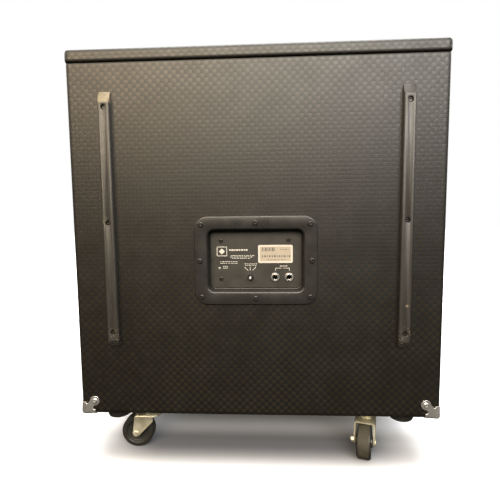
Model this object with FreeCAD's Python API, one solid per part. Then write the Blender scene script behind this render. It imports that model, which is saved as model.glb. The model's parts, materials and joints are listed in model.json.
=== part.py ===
"""Bass guitar speaker cabinet on swivel casters: a vinyl-covered plywood box with a lift-off lid,
one woofer and one horn behind a cloth grille, skid rails and a jack plate on the back.

Millimetres. +Z is up and z = 0 is the floor under the wheels. The grille faces -Y, the jack plate +Y.
The origin is under the centre of the whole object. Each sub-part is written to parts/NODE.step.
"""

import FreeCAD, Part
import math
import os

V = FreeCAD.Vector

# ---- driving dimensions ----------------------------------------------------------------------------
WIDTH = 508.0          # cabinet, across the front
DEPTH = 406.0          # cabinet, front to back
HEIGHT = 508.0         # cabinet, with its lid and without casters
CASTER_HEIGHT = 79.0   # floor to the underside of the cabinet
PLY = 15.0             # side, bottom and back panels
BAFFLE_PLY = 18.0
EDGE_R = 4.5           # rounded outer edges of the cabinet
LID_THICK = 17.0
LID_LIP = 1.5          # the lid stands this far outside the panels
SEAM = 1.5             # gap under the lid, which the gasket fills
RAIL_PROUD = 8.0       # how far the skid rails stand off the back
CORNER_SKIN = 1.2      # sheet metal of the corner protectors
CORNER_HEAD = 1.8      # height of their screw heads

GRILLE_RECESS = 26.0   # front edge back to the baffle's face
WOOFER_R = 194.0       # flange of a 15 inch driver
WOOFER_Z = 292.0
CONE_R = 163.0
CONE_DEPTH = 67.0
HORN_Z = 523.0
PORT_X, PORT_Z, PORT_R = 197.0, 136.0, 31.0

JACK_PLATE_Z = 301.4   # centre of the recessed plate
JACK_PLATE = (168.0, 122.0)
JACK_RECESS = (131.0, 85.0)
JACK_X = (-26.9, -46.3)
SOCKET_R = 3.25        # takes a 6.35 mm plug
CONTROL_Z = 276.8      # height of the jacks and the toggle switch
TOGGLE_X = 7.7

RAIL_X = 200.7
RAIL_WIDTH = 15.5
RAIL_Z = (180.0, 530.0)
RAIL_SCREW_Z = (202.0, 355.0, 509.0)

FOOT_X, FOOT_IN, FOOT_R, FOOT_TALL = 214.6, 40.0, 19.0, 20.0
CASTER_X, CASTER_IN = 167.0, 55.0
WHEEL_R, WHEEL_WIDTH, TRAIL = 25.0, 20.0, 24.0
# direction in which each caster trails, in degrees about +Z from +X
CASTER_TURN = {"back_left": 0.0, "back_right": 72.0, "front_left": 24.0, "front_right": 158.0}
RUN = 0.05             # radial clearance of every running fit

# ---- places worked out from them -------------------------------------------------------------------
Y_MID = (LID_LIP - RAIL_PROUD) / 2     # keeps the whole object centred on the origin
Y_FRONT, Y_BACK = Y_MID - DEPTH / 2, Y_MID + DEPTH / 2
X_SIDE = WIDTH / 2
X_IN = X_SIDE - PLY
Z_BOTTOM = CASTER_HEIGHT
Z_TOP = Z_BOTTOM + HEIGHT
Z_LID = Z_TOP - LID_THICK
Z_RIM = Z_LID - SEAM
Z_FLOOR = Z_BOTTOM + PLY
Y_BAFFLE = Y_FRONT + GRILLE_RECESS
Y_BAFFLE_IN = Y_BAFFLE + BAFFLE_PLY
Y_BACK_IN = Y_BACK - PLY

NODES = {}
SCREWS = []            # every wood screw driven into the cabinet from outside, which share one node


# ---- shape helpers ---------------------------------------------------------------------------------
def box(x0, x1, y0, y1, z0, z1):
    return Part.makeBox(x1 - x0, y1 - y0, z1 - z0, V(x0, y0, z0))


def rod(r, start, end):
    """A cylinder of radius r between two points."""
    a, b = V(*start), V(*end)
    return Part.makeCylinder(r, (b - a).Length, a, b - a)


def spin(points, axis, centre):
    """Turn a closed outline of (radius, height) points about an axis, "Y" or "Z", through centre."""
    if axis == "Y":
        corners = [V(r, h, 0) for r, h in points]
        turn = V(0, 1, 0)
    else:
        corners = [V(r, 0, h) for r, h in points]
        turn = V(0, 0, 1)
    face = Part.Face(Part.makePolygon(corners + corners[:1]))
    solid = face.revolve(V(0, 0, 0), turn, 360)
    solid = solid if solid.Volume > 0 else solid.reversed()
    solid.translate(V(*centre))
    return solid


def prism(points, lift):
    """Push a closed outline of 3-D points along the vector lift."""
    corners = [V(*p) for p in points]
    return Part.Face(Part.makePolygon(corners + corners[:1])).extrude(V(*lift))


def plate_y(width, height, corner, x, z, y0, y1):
    """A plate with rounded corners that lies against an XZ plane."""
    plate = box(x - width / 2, x + width / 2, y0, y1, z - height / 2, z + height / 2)
    return round_edges(plate, corner, along="Y")


def round_edges(solid, radius, along=None, keep=None):
    """Round the edges that run along one axis, or those that keep(edge) picks."""
    chosen = []
    for edge in solid.Edges:
        if keep is not None:
            if keep(edge):
                chosen.append(edge)
            continue
        size = edge.BoundBox
        spans = {"X": size.XLength, "Y": size.YLength, "Z": size.ZLength}
        if all(s < 1e-6 for name, s in spans.items() if name != along) and spans[along] > 1e-6:
            chosen.append(edge)
    return solid.makeFillet(radius, chosen)


def pan_screw(head_r, head_h, shank_r, length, at, out):
    """A screw whose domed head stands on the point at and points along out."""
    screw = Part.makeCylinder(head_r, head_h, V(0, 0, 0), V(0, 0, 1))
    screw = round_edges(screw, head_h * 0.6, keep=lambda e: e.BoundBox.ZMin > head_h - 1e-6)
    screw = screw.fuse(Part.makeCylinder(shank_r, length, V(0, 0, -length), V(0, 0, 1)))
    cross = box(-head_r * 0.55, head_r * 0.55, -0.5, 0.5, head_h * 0.55, head_h)
    screw = screw.cut(cross).cut(cross.rotated(V(0, 0, 0), V(0, 0, 1), 90))
    screw.Placement = FreeCAD.Placement(V(*at), FreeCAD.Rotation(V(0, 0, 1), V(*out)))
    return screw


def both_sides(shape):
    """The shape and its mirror image across the YZ plane."""
    return [shape, shape.mirror(V(0, 0, 0), V(1, 0, 0))]


def add(name, *solids):
    NODES[name] = solids[0] if len(solids) == 1 else Part.makeCompound(list(solids))


# ---- the plywood box -------------------------------------------------------------------------------
def rounded_block(grow):
    """The cabinet's outer form, grown by a skin's thickness, with its long edges rounded."""
    block = box(-X_SIDE - grow, X_SIDE + grow, Y_FRONT - grow, Y_BACK + grow, Z_BOTTOM - grow, Z_RIM)

    def upright_or_low(edge):
        return edge.BoundBox.ZLength > 100 or edge.BoundBox.ZMax < Z_BOTTOM + 1

    return round_edges(block, EDGE_R + grow, keep=upright_or_low)


def jack_cut_out(spare):
    wide, tall = JACK_RECESS
    return plate_y(wide + spare, tall + spare, 10, 0, JACK_PLATE_Z, Y_BACK - 40, Y_BACK + 20)


HANDLE_Z, HANDLE_Y = 409.0, Y_MID
HANDLE_OPEN = (128.0, 84.0)    # along Y and Z
HANDLE_DEEP = 42.0


def handle_cut_out(spare):
    """The hole through the +X side panel that the recessed handle sits in."""
    wide, tall = HANDLE_OPEN[0] + spare, HANDLE_OPEN[1] + spare
    hole = box(X_IN - 60, X_SIDE + 20, HANDLE_Y - wide / 2, HANDLE_Y + wide / 2,
               HANDLE_Z - tall / 2, HANDLE_Z + tall / 2)
    return round_edges(hole, 14, along="X")


def make_carcass():
    block = rounded_block(0)
    side = block.common(box(X_IN, 300, -300, 300, 0, 700)).cut(handle_cut_out(6))
    left, right = both_sides(side)
    add("side_panel_left", left)
    add("side_panel_right", right)
    add("bottom_panel", block.common(box(-X_IN, X_IN, -300, 300, 0, Z_FLOOR)))
    back = block.common(box(-X_IN, X_IN, Y_BACK_IN, 300, Z_FLOOR, 700))
    add("back_panel", back.cut(jack_cut_out(5)))

    baffle = box(-X_IN, X_IN, Y_BAFFLE, Y_BAFFLE_IN, Z_FLOOR, Z_RIM)
    baffle = baffle.cut(rod(CONE_R + 17, (0, Y_BAFFLE - 5, WOOFER_Z), (0, Y_BAFFLE_IN + 5, WOOFER_Z)))
    baffle = baffle.cut(box(-82, 82, Y_BAFFLE - 5, Y_BAFFLE_IN + 5, HORN_Z - 28, HORN_Z + 28))
    for x in (-PORT_X, PORT_X):
        baffle = baffle.cut(rod(PORT_R + 3, (x, Y_BAFFLE - 5, PORT_Z), (x, Y_BAFFLE_IN + 5, PORT_Z)))
    add("front_baffle", baffle)

    rail = 20.0
    frame = box(-X_IN, X_IN, Y_BAFFLE_IN, Y_BACK_IN, Z_RIM - rail, Z_RIM)
    add("top_frame", frame.cut(box(-X_IN + rail, X_IN - rail, Y_BAFFLE_IN + rail, Y_BACK_IN - rail,
                                   Z_RIM - 30, Z_RIM + 5)))


def make_lining():
    pads = [box(-190, 190, Y_BACK_IN - 20, Y_BACK_IN, 358, Z_RIM - 24),
            box(-150, 150, -10, 125, Z_FLOOR, Z_FLOOR + 20)]
    add("acoustic_lining", *pads)


def make_lid():
    wide, y0, y1 = X_SIDE + LID_LIP, Y_FRONT - LID_LIP, Y_BACK + LID_LIP
    lid = box(-wide, wide, y0, y1, Z_LID, Z_TOP)
    lid = round_edges(lid, 6.0, along="Z")
    lid = round_edges(lid, 5.0, keep=lambda e: e.BoundBox.ZMin > Z_TOP - 0.1)
    lid = round_edges(lid, 2.0, keep=lambda e: e.BoundBox.ZMax < Z_LID + 0.1)
    add("lid_panel", lid)
    inset = 4.0
    seal = box(-X_SIDE + inset, X_SIDE - inset, Y_FRONT + inset, Y_BACK - inset, Z_RIM + 0.2, Z_LID)
    add("lid_gasket", seal.cut(box(-X_IN, X_IN, Y_FRONT + 16, Y_BACK - 16, Z_RIM - 5, Z_LID + 5)))
    batten = box(199, 215, -130, 150, Z_LID - 15, Z_LID)
    add("lid_battens", *both_sides(batten))


def make_grille():
    x, z0, z1 = X_IN - 1, Z_FLOOR + 1, Z_RIM - 1
    front, back = Y_FRONT + 3, Y_FRONT + 15
    frame = box(-x, x, front, back, z0, z1).cut(box(-x + 16, x - 16, front - 5, back + 5, z0 + 16, z1 - 16))
    pegs = [rod(6, (sx * (x - 8), back - 2, z), (sx * (x - 8), Y_BAFFLE, z))
            for sx in (-1, 1) for z in (z0 + 8, z1 - 8)]
    add("grille_frame", frame.fuse(pegs))
    add("grille_cloth", box(-x, x, front - 1, front, z0, z1))


# ---- woofer ----------------------------------------------------------------------------------------
def make_woofer():
    face = Y_BAFFLE - 5.0              # front of the flange, which is 5 mm of the basket
    seat = Y_BAFFLE + 90.0             # plane of the basket's back ring
    centre = (0, 0, WOOFER_Z)
    wall = 3.0                         # of the basket, and its back ring
    basket = spin([(CONE_R + 2, face), (WOOFER_R, face), (WOOFER_R, Y_BAFFLE), (CONE_R + 15, Y_BAFFLE),
                   (90, seat + wall), (40, seat + wall), (40, seat), (84, seat), (84, seat - 7.5),
                   (90, seat - 7.5), (90, seat - 4), (CONE_R + 11, Y_BAFFLE), (CONE_R + 2, Y_BAFFLE)],
                  "Y", centre)
    for turn in (0, 60, 120):
        window = box(-200, 200, Y_BAFFLE + 22, seat - 16, -28, 28)
        window.rotate(V(0, 0, 0), V(0, 1, 0), turn)
        window.translate(V(0, 0, WOOFER_Z))
        basket = basket.cut(window)
    terminal = box(-126, -108, seat - 44, seat - 24, WOOFER_Z + 42, WOOFER_Z + 60)
    add("woofer_basket", basket.fuse(terminal))

    top = seat + wall
    top_plate = spin([(35, top), (75, top), (75, top + 8), (35, top + 8)], "Y", centre)
    magnet = spin([(45, top + 8), (90, top + 8), (90, top + 30), (45, top + 30)], "Y", centre)
    yoke = spin([(0, top), (30, top), (30, top + 30), (75, top + 30), (75, top + 40), (0, top + 40)],
                "Y", centre)
    add("woofer_magnet", top_plate, magnet, yoke)

    apex = face + CONE_DEPTH
    thick = 1.3
    add("woofer_cone", spin([(33, apex), (CONE_R, face), (CONE_R, face + thick), (34.5, apex + thick),
                             (33, apex + thick)], "Y", centre))
    cap_r, cap_rise = 50.0, 15.0
    cap_y = apex - (cap_r - 33) * CONE_DEPTH / (CONE_R - 33)
    ball_r = (cap_r ** 2 + cap_rise ** 2) / (2 * cap_rise)
    ball_at = V(0, cap_y - cap_rise + ball_r, WOOFER_Z)
    cap = Part.makeSphere(ball_r, ball_at).cut(Part.makeSphere(ball_r - 1, ball_at))
    cap = cap.common(rod(cap_r, (0, cap_y - cap_rise - 1, WOOFER_Z), (0, cap_y, WOOFER_Z)))
    add("dust_cap", cap)
    coil = spin([(32, apex - 4), (33, apex - 4), (33, seat), (34.2, seat), (34.2, top + 14), (32, top + 14)],
                "Y", centre)
    add("voice_coil", coil)

    roll = (CONE_R + 182.0) / 2
    roll_r = (182.0 - CONE_R) / 2
    ring = Part.makeTorus(roll, roll_r, V(0, face, WOOFER_Z), V(0, 1, 0))
    ring = ring.cut(Part.makeTorus(roll, roll_r - 1, V(0, face, WOOFER_Z), V(0, 1, 0)))
    ring = ring.common(box(-200, 200, face - 20, face, WOOFER_Z - 200, WOOFER_Z + 200))
    flat = spin([(181.5, face - 1.2), (184, face - 1.2), (184, face), (181.5, face)], "Y", centre)
    add("woofer_surround", ring.fuse(flat))
    spider_y = seat - 9.0
    add("woofer_spider", spin([(33, spider_y), (90, spider_y), (90, spider_y + 1.5), (33, spider_y + 1.5)],
                              "Y", centre))


def make_horn_and_ports():
    face, throat = Y_BAFFLE - 3.0, Y_BAFFLE + 85.0

    def frustum(w0, h0, y0, w1, h1, y1):
        ends = [Part.makePolygon([V(sx * w / 2, y, HORN_Z + sz * h / 2)
                                  for sx, sz in ((-1, -1), (1, -1), (1, 1), (-1, 1), (-1, -1))])
                for w, h, y in ((w0, h0, y0), (w1, h1, y1))]
        return Part.makeLoft(ends, True)

    flange = plate_y(184, 66, 6, 0, HORN_Z, face, Y_BAFFLE)
    shell = flange.fuse(frustum(162, 55, Y_BAFFLE - 1, 31, 31, throat))
    shell = shell.cut(frustum(156, 49, face - 0.01, 25, 25, throat + 0.01))
    add("horn_flare", shell)
    add("compression_driver",
        spin([(12.5, throat), (24, throat), (24, throat + 5), (35, throat + 8), (35, throat + 42),
              (31, throat + 50), (0, throat + 50), (0, throat + 30), (12.5, throat + 12)],
             "Y", (0, 0, HORN_Z)))
    tubes = []
    for x in (-PORT_X, PORT_X):
        outer, end = PORT_R + 3, Y_BAFFLE + 120
        tubes.append(spin([(PORT_R, Y_BAFFLE - 2), (PORT_R + 8, Y_BAFFLE - 2), (PORT_R + 8, Y_BAFFLE),
                           (outer, Y_BAFFLE), (outer, end), (PORT_R, end)], "Y", (x, 0, PORT_Z)))
    add("port_tubes", *tubes)

    screws = []
    for k in range(8):
        a = math.radians(22.5 + 45 * k)
        at = (188.8 * math.cos(a), Y_BAFFLE - 5.0, WOOFER_Z + 188.8 * math.sin(a))
        screws.append(pan_screw(4.2, 2.8, 2.2, 22, at, (0, -1, 0)))
    for x in (-86.5, 86.5):
        for z in (HORN_Z - 26, HORN_Z + 26):
            screws.append(pan_screw(3.2, 2.2, 1.8, 16, (x, face, z), (0, -1, 0)))
    add("driver_screws", *screws)


# ---- jack plate and crossover ----------------------------------------------------------------------
JACK_FLANGE = 3.0
JACK_FLOOR_Y = Y_BACK - 13.0           # front face of the lip that carries the inner panel
PANEL_T = 1.6
PANEL_SCREWS = ((48.8, 328.2), (-45.8, 329.6), (48.9, 274.8))


def make_jack_plate():
    wide, tall = JACK_PLATE
    recess_w, recess_h = JACK_RECESS
    front, lip = Y_BACK + JACK_FLANGE, 2.0
    plate = plate_y(wide, tall, 18, 0, JACK_PLATE_Z, Y_BACK, front)
    plate = round_edges(plate, 1.5, keep=lambda e: e.BoundBox.YMin > front - 1e-6)
    plate = plate.fuse(plate_y(recess_w + 4, recess_h + 4, 11, 0, JACK_PLATE_Z, JACK_FLOOR_Y - lip, Y_BACK))
    plate = plate.cut(plate_y(recess_w, recess_h, 9, 0, JACK_PLATE_Z, JACK_FLOOR_Y, front + 5))
    plate = plate.cut(box(-59, 59, JACK_FLOOR_Y - 10, JACK_FLOOR_Y + 5,
                          JACK_PLATE_Z - 35, JACK_PLATE_Z + 35))
    add("jack_plate", plate)

    panel = plate_y(recess_w - 5, recess_h - 6, 6, 0, JACK_PLATE_Z, JACK_FLOOR_Y, JACK_FLOOR_Y + PANEL_T)
    for x in JACK_X:
        panel = panel.cut(rod(4.5, (x, JACK_FLOOR_Y - 5, CONTROL_Z), (x, JACK_FLOOR_Y + 5, CONTROL_Z)))
    panel = panel.cut(rod(3.2, (TOGGLE_X, JACK_FLOOR_Y - 5, CONTROL_Z),
                          (TOGGLE_X, JACK_FLOOR_Y + 5, CONTROL_Z)))
    add("jack_panel", panel)

    screws = []
    corners = [(x, z) for x in (-74.5, 74.5) for z in (-50, 50)]
    for x, z in corners + [(0, 52), (0, -52), (76.5, 0), (-76.5, 0)]:
        screws.append(pan_screw(3.6, 2.4, 1.8, 17, (x, front, JACK_PLATE_Z + z), (0, 1, 0)))
    for x, z in PANEL_SCREWS:
        screws.append(pan_screw(2.9, 1.9, 1.4, 6, (x, JACK_FLOOR_Y + PANEL_T, z), (0, 1, 0)))
    add("jack_plate_screws", *screws)


def hex_nut(across, hole_r, x, z, y0, y1):
    corner = across / math.sqrt(3)
    turns = [math.radians(60 * k) for k in range(6)]
    points = [(x + corner * math.cos(a), y0, z + corner * math.sin(a)) for a in turns]
    return prism(points, (0, y1 - y0, 0)).cut(rod(hole_r, (x, y0 - 1, z), (x, y1 + 1, z)))


def round_nut(r, hole_r, x, z, y0, y1):
    ring = rod(r, (x, y0, z), (x, y1, z))
    ring = round_edges(ring, 0.5, keep=lambda e: e.BoundBox.YMin > y1 - 1e-6)
    return ring.cut(rod(hole_r, (x, y0 - 1, z), (x, y1 + 1, z)))


def make_controls():
    face = JACK_FLOOR_Y + PANEL_T
    sockets, nuts = [], []
    for x in JACK_X:
        body = box(x - 9, x + 9, JACK_FLOOR_Y - 24, JACK_FLOOR_Y, CONTROL_Z - 9, CONTROL_Z + 9)
        body = body.fuse(rod(4.4, (x, JACK_FLOOR_Y - 1, CONTROL_Z), (x, face + 3, CONTROL_Z)))
        sockets.append(body.cut(rod(SOCKET_R, (x, JACK_FLOOR_Y - 21, CONTROL_Z), (x, face + 5, CONTROL_Z))))
        nuts.append(round_nut(6.1, 4.5, x, CONTROL_Z, face, face + 2.2))
    add("jack_sockets", *sockets)
    add("jack_nuts", *nuts)

    x, z, mouth = TOGGLE_X, CONTROL_Z, face + 6.0
    ball_y, ball_r, reach = mouth - 1.4, 2.2, 9.5
    body = box(x - 6.5, x + 6.5, JACK_FLOOR_Y - 20, JACK_FLOOR_Y, z - 6, z + 6)
    body = body.fuse(rod(3.1, (x, JACK_FLOOR_Y - 1, z), (x, mouth, z)))
    body = body.cut(rod(ball_r + 0.3, (x, ball_y - 3, z), (x, mouth + 1, z)))
    add("toggle_switch", body, hex_nut(8.0, 3.15, x, z, face, face + 1.8))
    lever = Part.makeCone(1.1, 1.9, reach, V(x, ball_y, z), V(0, 1, 0))
    lever = round_edges(lever, 1.2, keep=lambda e: e.BoundBox.YMin > ball_y + reach - 1e-6)
    add("toggle_lever", lever.fuse(Part.makeSphere(ball_r, V(x, ball_y, z))))


def make_crossover():
    back = JACK_FLOOR_Y - 31.75
    board = box(-59, 59, back - PANEL_T, back, JACK_PLATE_Z - 35, JACK_PLATE_Z + 36)
    posts = [rod(3, (x, back, z), (x, JACK_FLOOR_Y, z))
             for x, z in ((50, 318), (-50, 318), (34, 272), (-8, 272))]
    board = board.fuse(posts)
    y = back - PANEL_T
    coils = [spin([(r0, y - h), (r1, y - h), (r1, y), (r0, y)], "Y", (x, 0, z))
             for r0, r1, h, x, z in ((9, 22, 20, 33, 304), (6, 15, 16, -38, 318))]
    caps = [rod(r, (-45, y - r, z), (-8, y - r, z)) for r, z in ((7, 295), (6, 279))]
    resistor = box(-4, 4, y - 9, y, 300, 334)
    add("crossover_board", board, *coils, *caps, resistor)


def bent_tube(points, r):
    """A round wire of radius r along straight runs joined by arcs as large as the runs allow."""
    pts = [V(*p) for p in points]
    edges, last = [], pts[0]
    for before, here, after in zip(pts, pts[1:], pts[2:]):
        u, w = (here - before), (after - here)
        run = min(u.Length, w.Length)
        u.normalize()
        w.normalize()
        half = u.getAngle(w) / 2
        cut = 0.45 * run
        bend = cut / math.tan(half)
        start, end = here - u * cut, here + w * cut
        inward = (w - u).normalize()
        middle = here + inward * (bend / math.cos(half) - bend)
        edges += [Part.LineSegment(last, start).toShape(), Part.Arc(start, middle, end).toShape()]
        last = end
    edges.append(Part.LineSegment(last, pts[-1]).toShape())
    path = Part.Wire(edges)
    ring = Part.Wire(Part.Circle(pts[0], pts[1] - pts[0], r).toShape())
    return path.makePipeShell([ring], True, True)


def make_wiring():
    y = JACK_FLOOR_Y - 31.75 - PANEL_T
    terminal_y = Y_BAFFLE + 90.0 - 24
    horn_back = Y_BAFFLE + 85.0 + 50
    woofer = [(-52, y, 333), (-54, 124, 334), (-76, 88, 338), (-101, 48, 343), (-114, 4, 345),
              (-117, -34, 344), (-117, -70, 343), (-117, terminal_y, 343)]
    horn = [(10, y, 333), (10, 122, 335), (4, 84, 350), (-2, 46, 372), (-6, 8, 388), (-8, -16, 412),
            (-10, -24, 446), (-10, -24, 480), (-9, -26, 506), (-6, horn_back, 520)]
    add("internal_wiring", bent_tube(woofer, 2.0), bent_tube(horn, 2.0))


# ---- rails, corners, feet, handles and latches -----------------------------------------------------
def make_rails():
    low, high = RAIL_Z
    out = Y_BACK + RAIL_PROUD
    for name, x in (("left", RAIL_X), ("right", -RAIL_X)):
        x0 = x - RAIL_WIDTH / 2
        outline = [(x0, Y_BACK, low), (x0, Y_BACK + 1.5, low), (x0, out, low + 10), (x0, out, high - 14),
                   (x0, Y_BACK + 1.5, high), (x0, Y_BACK, high)]
        rail = prism(outline, (RAIL_WIDTH, 0, 0))
        rail = round_edges(rail, 2.2,
                           keep=lambda e: e.BoundBox.ZLength > 100 and e.BoundBox.YMin > out - 1e-6)
        for z in RAIL_SCREW_Z:
            rail = rail.cut(rod(3.7, (x, out - 4.2, z), (x, out + 1, z)))
            rail = rail.cut(rod(2.1, (x, Y_BACK - 1, z), (x, out, z)))
        add("skid_rail_" + name, rail)
    SCREWS.extend(pan_screw(3.3, 2.0, 2.0, 17, (x, out - 4.2, z), (0, 1, 0))
                  for x in (RAIL_X, -RAIL_X) for z in RAIL_SCREW_Z)


EAR_AT = (19.3, 19.5)


def ear_outline(origin, u, v, depth, with_ear):
    """One face of a corner protector: two wings along the edges and, on most, an ear on the diagonal."""
    def at(a, b):
        return tuple(origin[k] + u[k] * a + v[k] * b for k in range(3))
    skirt = [(-2, -2), (20, -2), (20, 3), (16, 9), (9, 14.5), (3, 17.6), (-2, 17.6)]
    plate = prism([at(*p) for p in skirt], depth)
    if not with_ear:
        return plate
    arm = [(9, 2), (22.8, 16), (15.8, 23), (2, 9)]
    plate = plate.fuse(prism([at(*p) for p in arm], depth))
    centre = at(*EAR_AT)
    end = tuple(centre[k] + depth[k] for k in range(3))
    return plate.fuse(rod(7.0, centre, end))


def make_corners():
    skin = rounded_block(CORNER_SKIN).cut(rounded_block(0))
    caps = []
    deep = EDGE_R + 2
    for sx in (1, -1):
        for y_edge, sy in ((Y_BACK, 1), (Y_FRONT, -1)):
            vertex = (sx * X_SIDE, y_edge, Z_BOTTOM)
            along_x, along_y, up = (-sx, 0, 0), (0, -sy, 0), (0, 0, 1)
            out = {"y": (0, sy, 0), "x": (sx, 0, 0), "z": (0, 0, -1)}
            faces = (("y", along_x, up), ("x", along_y, up), ("z", along_x, along_y))
            form = None
            for key, u, v in faces:
                start = tuple(vertex[k] + out[key][k] * 2 for k in range(3))
                depth = tuple(-out[key][k] * (deep + 2) for k in range(3))
                with_ear = key != "y" or sy > 0    # the grille leaves no room for one on the front
                one = ear_outline(start, u, v, depth, with_ear)
                form = one if form is None else form.fuse(one)
                if not with_ear:
                    continue
                head = tuple(vertex[k] + u[k] * EAR_AT[0] + v[k] * EAR_AT[1] + out[key][k] * CORNER_SKIN
                             for k in range(3))
                SCREWS.append(pan_screw(3.6, CORNER_HEAD, 1.6, 10, head, out[key]))
            near = box(min(sx * 200, sx * 270), max(sx * 200, sx * 270),
                       min(y_edge - sy * 60, y_edge + sy * 10), max(y_edge - sy * 60, y_edge + sy * 10),
                       Z_BOTTOM - 10, Z_BOTTOM + 60)
            caps.append(skin.common(near).common(form))
    add("corner_protectors", *[c.Solids[0] for c in caps])


def make_feet():
    feet = []
    for x in (FOOT_X, -FOOT_X):
        for y in (Y_BACK - FOOT_IN, Y_FRONT + FOOT_IN):
            foot = spin([(0, Z_BOTTOM), (FOOT_R, Z_BOTTOM), (FOOT_R, Z_BOTTOM - 6),
                         (FOOT_R - 2, Z_BOTTOM - FOOT_TALL + 2), (FOOT_R - 4, Z_BOTTOM - FOOT_TALL),
                         (6, Z_BOTTOM - FOOT_TALL), (6, Z_BOTTOM - 9), (0, Z_BOTTOM - 9)], "Z", (x, y, 0))
            feet.append(foot.cut(rod(2.3, (x, y, Z_BOTTOM - 12), (x, y, Z_BOTTOM + 1))))
    add("rubber_feet", *feet)


def make_handles():
    wide, tall = HANDLE_OPEN
    wall = 2.5
    flange = box(X_SIDE, X_SIDE + 3, HANDLE_Y - wide / 2 - 18, HANDLE_Y + wide / 2 + 18,
                 HANDLE_Z - tall / 2 - 16, HANDLE_Z + tall / 2 + 16)
    flange = round_edges(flange, 18, along="X")
    cup_out = box(X_SIDE - HANDLE_DEEP - wall, X_SIDE,
                  HANDLE_Y - wide / 2 - wall, HANDLE_Y + wide / 2 + wall,
                  HANDLE_Z - tall / 2 - wall, HANDLE_Z + tall / 2 + wall)
    cup_out = round_edges(cup_out, 14, along="X")
    hollow = box(X_SIDE - HANDLE_DEEP, X_SIDE + 10, HANDLE_Y - wide / 2, HANDLE_Y + wide / 2,
                 HANDLE_Z - tall / 2, HANDLE_Z + tall / 2)
    hollow = round_edges(hollow, 12, along="X")
    grip_x, grip_z, half = X_SIDE - 8, HANDLE_Z + 22, wide / 2 + 1
    grip = rod(9.0, (grip_x, HANDLE_Y - half, grip_z), (grip_x, HANDLE_Y + half, grip_z))
    handle = flange.fuse(cup_out).cut(hollow).fuse(grip)
    left, right = both_sides(handle)
    add("side_handle_left", left)
    add("side_handle_right", right)


LATCH_Y, LATCH_PIVOT_Z, LATCH_OUT = Y_MID, 532.0, 6.5
HOOK_GRIP = 1.2         # how far the hook reaches over the keeper's lip
HOOK_SLACK = 1.0        # space between them when the lid is shut


def make_latches():
    y0, y1 = LATCH_Y - 16, LATCH_Y + 16
    pivot_x = X_SIDE + LATCH_OUT
    base = box(X_SIDE, X_SIDE + 1.6, y0, y1, LATCH_PIVOT_Z - 22, LATCH_PIVOT_Z + 24)
    base = round_edges(base, 3, along="X")
    for y in (y0, y1 - 3):
        ear = box(X_SIDE + 1, pivot_x, y, y + 3, LATCH_PIVOT_Z - 4, LATCH_PIVOT_Z + 4)
        base = base.fuse(ear).fuse(rod(4, (pivot_x, y, LATCH_PIVOT_Z), (pivot_x, y + 3, LATCH_PIVOT_Z)))
    pin_r = 1.5
    base = base.fuse(rod(pin_r, (pivot_x, y0, LATCH_PIVOT_Z), (pivot_x, y1, LATCH_PIVOT_Z)))
    add("latch_bases", *both_sides(base))

    lip_top = Z_LID + 8.0
    lip_out = X_SIDE + LID_LIP + 3.5
    keeper = box(X_SIDE + LID_LIP, X_SIDE + LID_LIP + 1.2, y0, y1, Z_LID + 2.4, Z_TOP - 5.5)
    keeper = keeper.fuse(box(X_SIDE + LID_LIP, lip_out, y0 + 6, y1 - 6, lip_top - 2.0, lip_top))
    add("latch_keepers", *both_sides(keeper))

    arm_in = lip_out + 0.4
    hook_y0, hook_y1 = y0 + 3.4, y1 - 3.4
    under = lip_top + HOOK_SLACK
    hook = box(arm_in, arm_in + 2.2, hook_y0 + 2, hook_y1 - 2, LATCH_PIVOT_Z, under + 2.2)
    hook = hook.fuse(box(lip_out - HOOK_GRIP, arm_in + 1, hook_y0 + 2, hook_y1 - 2, under, under + 2.2))
    hook = hook.fuse(rod(3.6, (pivot_x, hook_y0, LATCH_PIVOT_Z), (pivot_x, hook_y1, LATCH_PIVOT_Z)))
    hook = hook.cut(rod(pin_r + RUN, (pivot_x, y0, LATCH_PIVOT_Z), (pivot_x, y1, LATCH_PIVOT_Z)))
    left, right = both_sides(hook)
    add("latch_hook_left", left)
    add("latch_hook_right", right)


# ---- casters ---------------------------------------------------------------------------------------
PLATE_T = 2.5
KINGPIN_R = 5.0
FORK_W = 30.0            # outside the legs
LEG_T = 2.5
CROWN_UNDER, CROWN_TOP = 52.0, 54.5
RACE_GAP = 0.4
AXLE_R = 3.0
HUB_R = 20.5


def caster_fixed():
    """Top plate with its upper race, the kingpin and four screws, about a swivel axis at the origin."""
    top = Z_BOTTOM
    plate = round_edges(box(-27, 27, -25, 25, top - PLATE_T, top), 6, along="Z")
    race = spin([(0, top - PLATE_T), (21, top - PLATE_T), (18, top - 8), (0, top - 8)], "Z", (0, 0, 0))
    plate = plate.fuse(race).cut(rod(KINGPIN_R, (0, 0, top - 12), (0, 0, top + 1)))
    pin = rod(KINGPIN_R, (0, 0, CROWN_UNDER - 1), (0, 0, top))
    pin = pin.fuse(rod(8, (0, 0, CROWN_UNDER - 3.3), (0, 0, CROWN_UNDER - 0.3)))
    screws = [pan_screw(4.0, 2.4, 2.0, 15, (x, y, top - PLATE_T), (0, 0, -1))
              for x in (-20.5, 20.5) for y in (-18.5, 18.5)]
    return plate, pin, screws


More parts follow.
